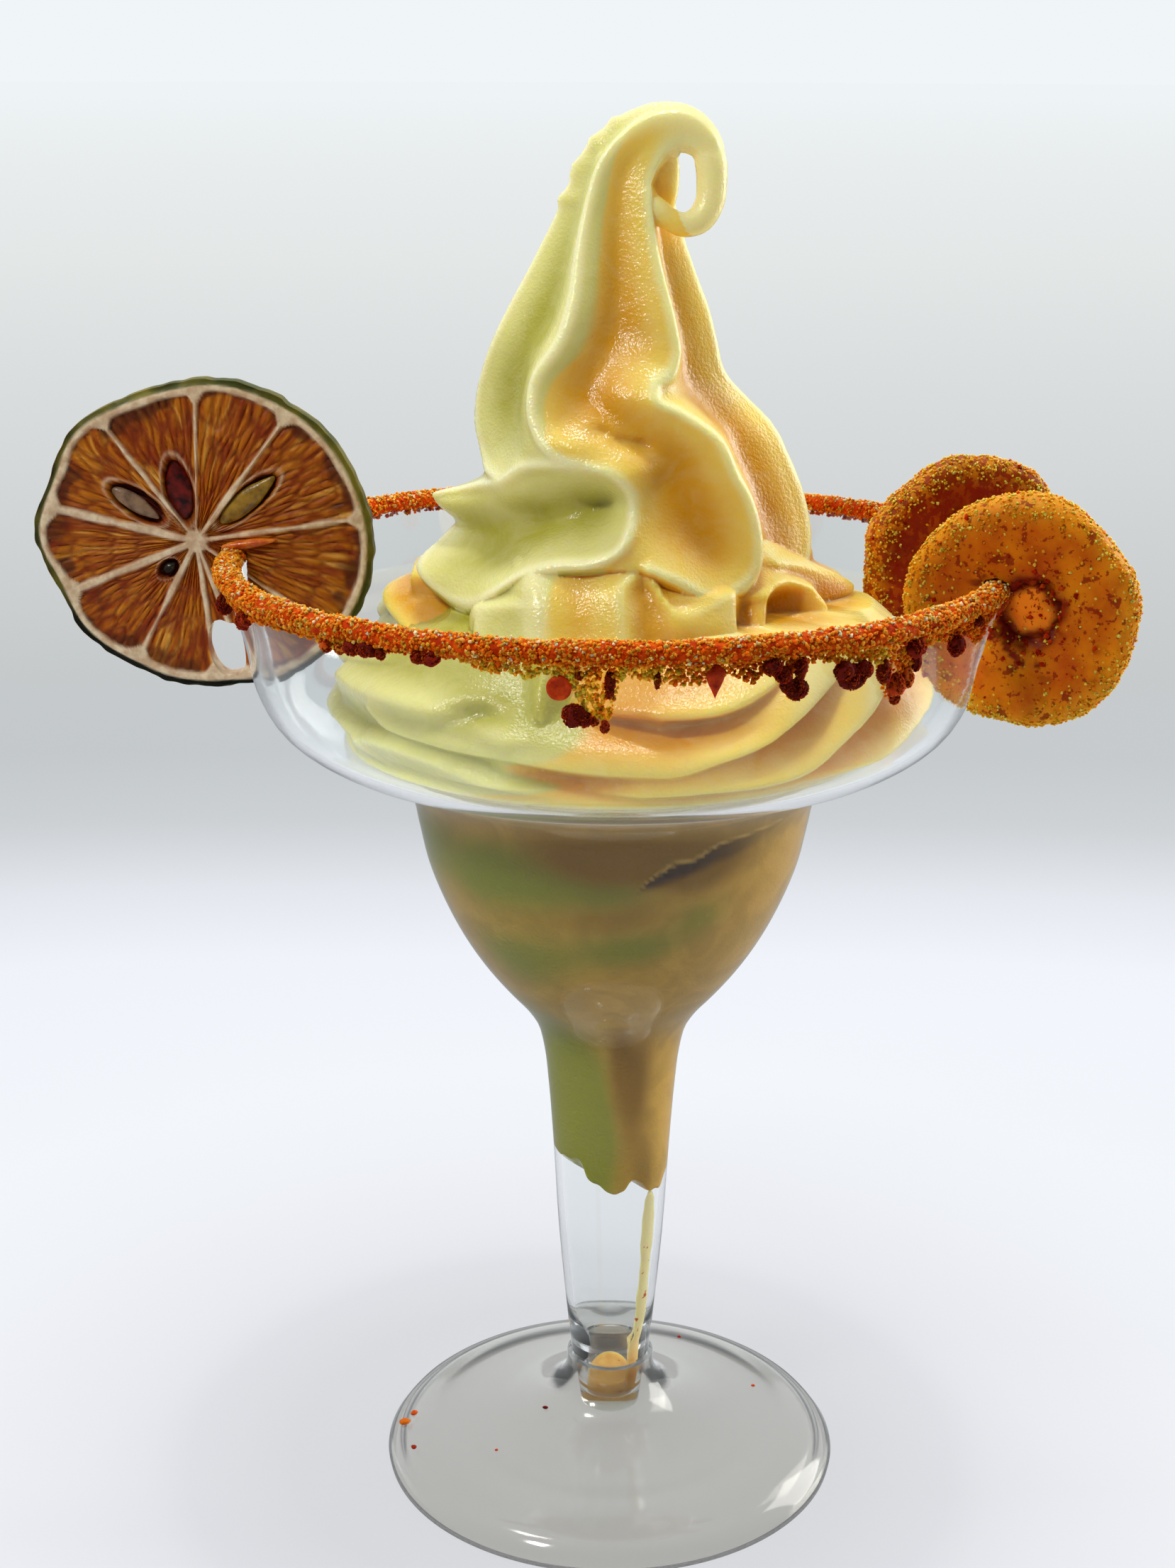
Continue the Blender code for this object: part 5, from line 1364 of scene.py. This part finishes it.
def lime_finish():
    """Cut face and rind of the dried lime, by the masks that its mesh carries."""
    made = Finish("dried_lime", Roughness=0.5, Subsurface_Weight=0.25, Subsurface_Scale=0.0016,
                  Specular_IOR_Level=0.2)
    fine = made.noise(0.5, 4.0, 0.6)
    juice = made.ramp(made.mask("tint"), (0.0, tone(100, 28, 0)), (0.35, tone(164, 78, 2)),
                      (0.65, tone(192, 114, 8)), (1.0, tone(226, 170, 76)))
    blotch = made.between(made.noise(4.0, 3.0, 0.6), 0.5, 0.66)
    juice = made.mix(made.math("MULTIPLY", blotch, 0.6), juice, tone(136, 36, 2))
    juice = made.mix(made.math("MULTIPLY", made.mask("gap"), 0.55), juice, tone(120, 36, 4))
    juice = made.mix(made.math("MULTIPLY", made.mask("burnt"), 0.8), juice, tone(84, 34, 10))
    # painted shade: dark red in the sunken seed pockets
    juice = made.mix(made.mask("cavity"), juice, tone(72, 14, 4))
    pith = made.mix(made.between(made.noise(1.4, 3.0), 0.3, 0.7), tone(236, 216, 182),
                    tone(204, 172, 136))
    face = made.mix(made.mask("flesh"), pith, juice)
    skin = made.mix(made.between(made.noise(7.0, 3.0), 0.4, 0.62), tone(120, 112, 34),
                    tone(70, 74, 20))
    skin = made.mix(made.mask("dark"), skin, tone(26, 28, 14))
    colour = made.mix(made.mask("rind"), face, skin)
    made.feed(made.shader, {"Base Color": colour})
    made.relief(fine, 0.35, 0.25)
    return made


def lime_point(outward, up, depth):
    """A point of the slice's plane, with depth towards the front."""
    return np.stack([-np.asarray(outward), LIME_SHIFT - np.asarray(depth), np.asarray(up)], -1)


def lime_slice(finish, cutter):
    angle = np.arange(LIME_SIDES) * 360.0 / LIME_SIDES
    radius = lime_radius(angle) + 0.25 * clouds(np.stack([angle, 0 * angle], -1), 4.0, 3)
    a = np.radians(angle)
    half = LIME_THICKNESS / 2
    faces_at = []
    shares = np.linspace(0.004, 1.0, LIME_RINGS)**0.85
    for side in (1, -1):
        face = []
        for share in shares:
            out = LIME_CENTRE[0] - radius * share * np.cos(a)
            up = LIME_CENTRE[1] + radius * share * np.sin(a)
            face.append((out, up, side * np.full(LIME_SIDES, half)))
        faces_at.append(face if side > 0 else face[::-1])
    bulge = [(radius + b, d) for b, d in ((0.25, 0.75), (0.35, 0.25), (0.35, -0.25), (0.25, -0.75))]
    rim = [(LIME_CENTRE[0] - r * np.cos(a), LIME_CENTRE[1] + r * np.sin(a),
            np.full(LIME_SIDES, d * half)) for r, d in bulge]
    rings = faces_at[0] + rim + faces_at[1]
    out, up, depth = (np.array([ring[k] for ring in rings]) for k in range(3))
    slice_ = closed_loft("lime", [lime_point(o, u, d) for o, u, d in zip(out, up, depth)])
    gap = np.array(LIME_GAP)
    gap = smooth_outline([*gap, gap[0]], 49)[:-1]
    hole = closed_loft("gap", [lime_point(gap[:, 0], gap[:, 1], np.full(len(gap), d))
                               for d in (6, -6)])
    combine(slice_, [hole, cutter], "DIFFERENCE")
    at = points_of(slice_)
    out, up, depth = -at[:, 0], at[:, 2], LIME_SHIFT - at[:, 1]
    plane = np.stack([out, up], -1)
    face = smoothstep(np.abs(depth), half - 0.35, half - 0.05)
    side = np.where(depth > 0, 1, -1)
    flesh, from_edge, (gaps, tint, burnt) = lime_pattern(out, up, 0)
    reach = oval_reach(out, up, CAVITIES) + 9.0 * (side < 0)
    cavity = 1 - smoothstep(reach, 0.8, 1.0)
    skin = np.exp(-((reach - 1.10) / 0.07)**2)
    swell = smoothstep(gaps, 0.0, 0.5)
    sink = flesh * (0.6 - 0.3 * swell - 0.25 * skin) + 1.0 * cavity * flesh
    flesh = flesh * (1 - 0.75 * skin * (0.6 + 0.4 * clouds(plane, 2.0, 9)))
    sink += 0.25 * clouds(plane, 2.5, 6)
    sink = np.maximum(sink, -0.15) + 0.5 * (1 - smoothstep(from_edge, 0.0, 0.9))
    moved = lime_point(out, up, depth - side * sink * face)
    slice_.data.vertices.foreach_set("co", (moved * MM).astype(np.float32).ravel())
    dark = smoothstep(clouds(plane, 9.0, 8) + (-up + 148) / 16 + (out - 62) / 30, -0.2, 0.8)
    carry(slice_, flesh=flesh, gap=1 - smoothstep(gaps, 0.0, 0.4), tint=tint, burnt=burnt,
          cavity=cavity, rind=1 - smoothstep(from_edge, 0.45, 0.8), dark=dark)
    coat(slice_, finish)
    slice_.data.set_sharp_from_angle(angle=math.radians(60))
    return shown(slice_, "dried_lime", "lime_slice")


def seed_finish(name, pale, dark):
    made = Finish(name, Roughness=0.3, Subsurface_Weight=0.2, Subsurface_Scale=0.001)
    made.feed(made.shader, {"Base Color": made.ramp(made.noise(1.4, 3.0), (0.35, dark),
                                                    (0.65, pale))})
    made.relief(made.noise(0.4, 2.0), 0.3, 0.2)
    return made


def lime_seeds():
    looks = {"pale": (tone(150, 120, 92), tone(104, 78, 58)),
             "olive": (tone(170, 132, 40), tone(112, 82, 16)),
             "black": (tone(40, 34, 24), tone(14, 12, 8)),
             # painted shade of the empty seed pocket
             "hollow": (tone(120, 16, 4), tone(40, 4, 2)),
             "chili": (tone(240, 140, 40), tone(206, 84, 10))}
    for k, (x, z, long_, wide, tilt, depth, kind) in enumerate(SEEDS):
        c, s = math.cos(math.radians(tilt)), math.sin(math.radians(tilt))
        ball, faces = lumpy_ball((0, 0, 0), (1, 1, 1), 0.0, 4, 0.03, k + 3)
        taper = 1 - 0.35 * smoothstep(ball[:, 0], 0.0, 1.0)
        along, over, across = ball[:, 0] * long_, ball[:, 1] * 0.9, ball[:, 2] * wide * taper
        out = LIME_HUB[0] - x - (along * c - across * s)
        up = LIME_HUB[1] + z + along * s + across * c
        at = lime_point(out, up, LIME_THICKNESS / 2 - 1.0 + depth + over)
        seed = piece_from("lime_seed_" + kind, at, faces, seed_finish("seed_" + kind, *looks[kind]))
        recalculate(seed)
        shown(seed, "dried_lime")


# Gummy rings
def gummy_finish(name, pale, deep, shift):
    made = Finish(name, Roughness=0.45, Subsurface_Weight=1.0, Subsurface_Scale=0.004, IOR=1.45,
                  Specular_IOR_Level=0.15)
    made.shader.inputs["Subsurface Radius"].default_value = (1.0, 0.45, 0.12)
    cloud = made.noise(6.0, 3.0, 0.55)
    colour = made.ramp(cloud, (0.3, deep), (0.65, pale))
    colour = made.mix(made.math("MULTIPLY", made.mask("edge"), 0.6), colour, tone(236, 168, 28))
    colour = made.mix(made.mask("web"), colour, tone(238, 138, 20))
    colour = made.mix(made.mask("core"), colour, tone(110, 10, 0))
    small = made.group(SPECKLE, Size=0.9, Share=shift)["Mask"]
    large = made.group(SPECKLE, Size=2.2, Share=shift * 0.9)["Mask"]
    spots = made.math("MAXIMUM", small, large)
    colour = made.mix(made.math("MULTIPLY", spots, 0.8), colour, tone(140, 26, 4))
    made.feed(made.shader, {"Base Color": colour})
    made.relief(made.noise(0.5, 3.0, 0.65), 0.5, 0.25)
    return made


def ring_web(name):
    """The thin skin of candy that closes the front ring's hole."""
    outward, across, distance, height, shift, _ = ring_basis(name)
    skin, faces = lumpy_ball((0, 0, 0), (RING_HOLE + 1.4, 1.3, RING_HOLE + 1.4), 0.0, 4, 0.05, 2)
    places = (outward * (distance + shift[0] + skin[:, :1]) + across * (skin[:, 1:2] - 0.9)
              + np.array([0, 0, 1.0]) * (height + shift[1] + skin[:, 2:]))
    web = piece_from("web", places, faces)
    recalculate(web)
    return web


def ring_basis(name):
    angle, distance, height, shift, seed = RING_PLACES[name]
    a = math.radians(angle)
    outward = np.array([math.sin(a), -math.cos(a), 0.0])
    across = np.array([math.cos(a), math.sin(a), 0.0])
    return outward, across, distance, height, shift, seed


def ring_wobble(turn, seed):
    """The ring's unevenness round its edge, in the order that the solid draws it."""
    draw = random.Random(seed)
    waves = [(n, draw.uniform(0.1, 0.34), draw.uniform(0, 6.28)) for n in (2, 3, 5, 7)]
    return sum(m * np.sin(n * turn + p) for n, m, p in waves)


def ring_section(count):
    """(depth share, radius) round the ring's section, starting behind at the hole."""
    corners = [(-0.55, RING_HOLE + 0.2), (-0.93, RING_HOLE + 1.2), (-1.0, RING_HOLE + 4.0),
               (-1.0, RING_OUTER - 3.2), (-0.86, RING_OUTER - 1.2), (-0.45, RING_OUTER - 0.2),
               (0.0, RING_OUTER), (0.45, RING_OUTER - 0.2), (0.86, RING_OUTER - 1.2),
               (1.0, RING_OUTER - 3.2), (1.0, RING_HOLE + 4.0), (0.93, RING_HOLE + 1.2),
               (0.55, RING_HOLE + 0.2), (0.0, RING_HOLE - 0.1), (-0.55, RING_HOLE + 0.2)]
    half = RING_THICKNESS / 2
    return smooth_outline([(d * half, r) for d, r in corners], count + 1)[:-1]


def gummy_ring(name, finish, cutter):
    outward, across, distance, height, shift, seed = ring_basis(name)
    turn = np.arange(RING_SIDES) * 2 * math.pi / RING_SIDES
    wobble = ring_wobble(turn, seed)
    rows = []
    for depth, radius in ring_section(RING_POINTS):
        inner = 1 - smoothstep(radius, RING_HOLE, RING_OUTER * 0.6)
        r = radius + wobble * radius / RING_OUTER
        flat = np.stack([r * np.cos(turn) + shift[0] * inner, 0 * turn + depth,
                         r * np.sin(turn) + shift[1] * inner], -1)
        lump = 0.30 * clouds(flat, 3.4, seed) + 0.16 * clouds(flat, 1.2, seed + 1)
        ragged = 0.8 * inner * clouds(flat, 1.3, seed + 2)
        push = (r + ragged + lump * 0.6) / r
        flat = flat * np.stack([push, 1 + lump / RING_THICKNESS, push], -1)
        rows.append(outward * (distance + flat[:, :1]) + np.array([0, 0, 1.0]) * (height + flat[:, 2:])
                    + across * flat[:, 1:2])
    ring = piece_from(name + "_candy", np.concatenate(rows), grid_faces(RING_POINTS, RING_SIDES, True))
    recalculate(ring)
    if name == "gummy_ring_front":
        combine(ring, [ring_web(name)])
    combine(ring, [cutter], "DIFFERENCE")
    at = points_of(ring)
    x, z = at @ outward - distance, at[:, 2] - height
    reach = np.hypot(x, z)
    hole = np.hypot(x - shift[0], z - shift[1])
    blotch = clouds(at, 2.4, seed + 5)
    fine = clouds(at, 1.1, seed + 7)
    core = np.exp(-((hole - RING_HOLE - 0.5 + 0.9 * fine) / (0.9 + 0.4 * blotch))**2)
    stain = smoothstep(blotch + 0.6 * fine, 0.35, 0.6) * np.exp(-((hole - 7.0) / 2.6)**2)
    carry(ring, edge=smoothstep(reach + blotch, RING_OUTER - 4.0, RING_OUTER - 0.6),
          core=np.clip(core + stain * (x + z * 0.5 < 3), 0, 1),
          web=1 - smoothstep(hole, RING_HOLE - 0.6, RING_HOLE - 0.1))
    coat(ring, finish)
    ring.data.set_sharp_from_angle(angle=math.radians(60))
    return shown(ring, "chili_gummy", name)


def surface_spots(thing, count, draw, accept):
    """Random points on a piece's faces, with their normals, where accept says so."""
    mesh = thing.data
    mesh.calc_loop_triangles()
    tri = np.zeros(len(mesh.loop_triangles) * 3, np.int32)
    mesh.loop_triangles.foreach_get("vertices", tri)
    tri = tri.reshape(-1, 3)
    at = points_of(thing)
    a, b, c = at[tri[:, 0]], at[tri[:, 1]], at[tri[:, 2]]
    normal = np.cross(b - a, c - a)
    area = np.linalg.norm(normal, axis=1)
    weight = area * accept((a + b + c) / 3)
    pick = draw.choice(len(tri), count, p=weight / weight.sum())
    u, v = draw.uniform(size=(2, count))
    flip = u + v > 1
    u, v = np.where(flip, 1 - u, u), np.where(flip, 1 - v, v)
    spots = a[pick] + (b - a)[pick] * u[:, None] + (c - a)[pick] * v[:, None]
    return spots, normal[pick] / area[pick][:, None]


def ring_dressing(name, ring, finishes):
    """Sugar along the ring's edge, and flakes of chili thicker round its hole."""
    outward, _, distance, height, shift, seed = ring_basis(name)
    draw = np.random.default_rng(seed)

    def reach(points):
        return np.hypot(points @ outward - distance - shift[0] * 0.5, points[:, 2] - height)

    spots, normals = surface_spots(ring, 3000, draw, lambda p: 0.12 + 1.2 * smoothstep(
        reach(p), RING_OUTER - 4.5, RING_OUTER - 1.0))
    sugar = crystals(name + "_sugar", spots + normals * 0.06, draw.uniform(0.10, 0.22, len(spots)),
                     draw.uniform(size=len(spots)), finishes[0], seed + 1)
    shown(sugar, "chili_gummy")
    spots, normals = surface_spots(ring, 260, draw, lambda p: 0.10 + 1.6 * (1 - smoothstep(
        reach(p), RING_HOLE, RING_HOLE + 5.0)))
    flakes = crystals(name + "_flakes", spots, draw.uniform(0.12, 0.5, len(spots))**1.3,
                      draw.uniform(size=len(spots)), finishes[1], seed + 2)
    shown(flakes, "chili_gummy")


def rim_cutter():
    """The wall with play each side, and the crust's outer form: what the garnishes straddle."""
    wall = np.array(BOWL_OUTSIDE)
    outer = offset_outline(wall, SLIT)[:9]
    inner = offset_outline(wall, -(WALL + SLIT))[:9]
    top = [(58.4, 146.4), (58.8, 147.8), (58.3, 149.4), (56.7, 150.1), (55.1, 149.7),
           (54.3, 148.4), (54.5, 147.0)]
    outer = outer[outer[:, 1] < 145.9]
    inner = inner[inner[:, 1] < 145.9]
    outline = [*reversed(outer), *top, *inner]
    return turned("rim_cutter", outline, GLASS_SIDES, True)


# The table's brightness at a distance (metres) from the glass, darker within about 0.1 m as a painted
# shadow round the foot, and the sky behind and in front
FLOOR_TONES = (
    (0.045, (213, 214, 218)), (0.062, (219, 220, 225)), (0.069, (226, 227, 232)),
    (0.078, (230, 231, 237)), (0.095, (234, 235, 240)), (0.118, (237, 240, 245)),
    (0.150, (240, 243, 248)), (0.22, (237, 240, 247)),
    (0.27, (224, 227, 233)), (0.33, (199, 203, 206)), (0.40, (191, 195, 198)),
    (0.50, (193, 197, 198)), (0.95, (213, 216, 216)), (2.2, (230, 233, 232)),
    (9.0, (241, 246, 248)),
)
SKY_BEHIND, SKY_FRONT = 0.95, 0.06

# Crumbs that fell on the foot: (right, towards the back, half width)
FOOT_CRUMBS = ((-33.6, -1.0, 1.0), (-32.2, 0.6, 0.7), (-31.5, -9.0, 0.55), (-10.4, -6.0, 0.45),
               (-18.0, -13.0, 0.3), (12.0, 24.0, 0.4), (24.0, 8.0, 0.35))
FOOT_CRUMB_TONES = (0.05, 0.25, 0.6, 0.9, 0.4, 0.7, 0.5)


def foot_crumbs(finish):
    outside = np.array(FOOT_OUTSIDE)[::-1]
    balls = []
    for k, (x, y, size) in enumerate(FOOT_CRUMBS):
        z = float(np.interp(-math.hypot(x, y), -outside[:, 0], outside[:, 1]))
        balls.append(lumpy_ball((x, y, z + size * 0.3), (size, size * 0.8, size * 0.45), k, 3, 0.12,
                                k + 2))
    return shown(gather("foot_crumbs", balls, finish, FOOT_CRUMB_TONES), "chili_salt")


def studio():
    """A pale table, darker close round the glass as a painted shadow, that fades to a grey band and
    then to white far away, under a bright sky.
    """
    table = Finish("pale_table", Roughness=0.6, Base_Color=tone(74, 75, 77), Specular_IOR_Level=0.0)
    place = table.add("SeparateXYZ", {0: table.add("TexCoord").outputs["Object"]}).outputs
    logs = []
    for power in (2.0, 4.0):            # round near the glass, squarer far away
        sides = [table.math("POWER", table.math("ABSOLUTE", place[k]), power) for k in (0, 1)]
        total = table.math("ADD", table.math("ADD", *sides), 1e-9)
        logs.append(table.math("MULTIPLY", table.math("LOGARITHM", total, 10.0), 1 / power))
    squarer = table.between(logs[1], -0.92, -0.66)
    far = table.math("ADD", logs[0], table.math("MULTIPLY", squarer,
                                                table.math("SUBTRACT", logs[1], logs[0])))
    at = table.add("MapRange", {"Value": far, "From Min": -1.5, "From Max": 1.0}).outputs[0]
    # the table glows in these tones, the darker ones near the glass being a painted shadow round the
    # foot
    colour = table.ramp(at, *[(0.6 + 0.4 * math.log10(r), tone(*c)) for r, c in FLOOR_TONES])
    path = table.add("LightPath").outputs
    glare = table.math("GREATER_THAN", table.math("SUBTRACT", path["Is Glossy Ray"],
                                                  path["Is Transmission Ray"]), 0.5)
    table.feed(table.shader, {"Emission Color": colour,
                              "Emission Strength": table.math("MULTIPLY_ADD", glare, -0.8, 0.93)})
    made = bmesh.new()
    bmesh.ops.create_circle(made, cap_ends=True, segments=96, radius=12.0)
    mesh = bpy.data.meshes.new("pale_table")
    made.to_mesh(mesh)
    made.free()
    floor = bpy.data.objects.new("pale_table", mesh)
    bpy.context.scene.collection.objects.link(floor)
    mesh.materials.append(table.material)

    sky = bpy.data.worlds.new("studio")
    bpy.context.scene.world = sky
    sky.use_nodes = True
    nodes = Nodes(sky.node_tree)
    way = nodes.add("SeparateXYZ", {0: nodes.add("TexCoord").outputs["Generated"]}).outputs
    behind = nodes.between(nodes.math("ADD", way["Y"], nodes.math("MULTIPLY", way["Z"], 0.5)),
                           -0.45, 0.65)
    strength = nodes.math("MULTIPLY_ADD", behind, SKY_BEHIND - SKY_FRONT, SKY_FRONT)
    path = nodes.add("LightPath").outputs
    seen = nodes.math("MAXIMUM", path["Is Camera Ray"], path["Is Transmission Ray"])
    strength = nodes.math("ADD", nodes.math("MULTIPLY", strength, nodes.math("SUBTRACT", 1.0, seen)),
                          seen)
    nodes.feed(sky.node_tree.nodes["Background"], {"Color": tone(240, 245, 247), "Strength": strength})


def lamp(name, place, target, size, power, colour=(1, 1, 1)):
    data = bpy.data.lights.new(name, "AREA")
    data.shape = "RECTANGLE"
    data.size, data.size_y = size
    data.energy = power
    data.color = colour
    made = bpy.data.objects.new(name, data)
    bpy.context.scene.collection.objects.link(made)
    made.location = place
    made.rotation_euler = (Vector(target) - Vector(place)).to_track_quat("-Z", "Y").to_euler()


def camera():
    """The photograph's viewpoint: a step back from the glass and looking down 17 degrees."""
    pitch, heading, roll = 0.3001, -0.0112, 0.0028
    forward = Vector((math.sin(heading) * math.cos(pitch), math.cos(heading) * math.cos(pitch),
                      -math.sin(pitch)))
    side = forward.cross(Vector((0, 0, 1))).normalized()
    up = side.cross(forward)
    right = math.cos(roll) * side + math.sin(roll) * up
    above = -math.sin(roll) * side + math.cos(roll) * up
    data = bpy.data.cameras.new("camera")
    data.sensor_width = 36.0
    data.lens = 55.6
    data.clip_start = 0.01
    made = bpy.data.objects.new("camera", data)
    bpy.context.scene.collection.objects.link(made)
    turn = Matrix((right, above, -forward)).transposed().to_4x4()
    made.matrix_world = Matrix.Translation((AXIS_X * MM, -0.35018, 0.22195)) @ turn
    bpy.context.scene.camera = made


def dress():
    glass_bowl(clear_finish("clear_plastic", tone(248, 250, 250), 0.03))
    glass_foot(clear_finish("hazy_plastic", tone(207, 205, 198), 0.09))
    frozen_swirl(frozen_finish())
    stem_melt(melt_finish())

    _, section, away = crust_band(crust_finish())
    grains = grain_finish("salt_crystal", (0.0, tone(176, 32, 0)), (0.35, tone(236, 96, 4)),
                          (0.65, tone(252, 146, 36)), (0.85, tone(252, 184, 108)),
                          (1.0, tone(255, 214, 176)))
    crumbs = grain_finish("chili_crumb", (0.0, tone(160, 32, 2)), (0.3, tone(226, 90, 4)),
                          (0.6, tone(250, 146, 14)), (1.0, tone(255, 196, 60)))
    crust_grains(section, away, (grains, crumbs))
    lumps = lump_finish()
    crust_lumps(lumps)
    lump_grains(grain_finish("lump_grain", (0.0, tone(78, 8, 0)), (0.3, tone(150, 34, 2)),
                             (1.0, tone(226, 110, 20))))
    foot_crumbs(lumps)

    lime_slice(lime_finish(), rim_cutter())
    lime_seeds()
    sugar = grain_finish("ring_sugar", (0.0, tone(206, 112, 4)), (0.5, tone(236, 158, 24)),
                         (1.0, tone(250, 204, 90)))
    flakes = grain_finish("chili_flake", (0.0, tone(110, 10, 0)), (0.6, tone(156, 30, 0)),
                          (1.0, tone(190, 64, 4)), rough=0.7)
    looks = {"gummy_ring_front": (tone(224, 132, 0), tone(186, 74, 0), 0.3),
             "gummy_ring_back": (tone(180, 78, 4), tone(128, 26, 0), 0.55)}
    for name in RING_PLACES:
        ring = gummy_ring(name, gummy_finish(name + "_finish", *looks[name]), rim_cutter())
        ring_dressing(name, ring, (sugar, flakes))


camera()
studio()
lamp("key", (-0.40, -0.40, 0.75), (0, 0, 0.14), (0.10, 0.10), 3.0, (1.0, 0.985, 0.94))
lamp("top", (0.02, 0.13, 0.80), (0, 0, 0.1), (0.12, 0.06), 1.7)
lamp("right", (0.50, 0.22, 0.26), (0, 0, 0.15), (0.3, 0.4), 2.0, (1.0, 0.98, 0.92))
dress()
bpy.context.scene.view_settings.view_transform = "Standard"
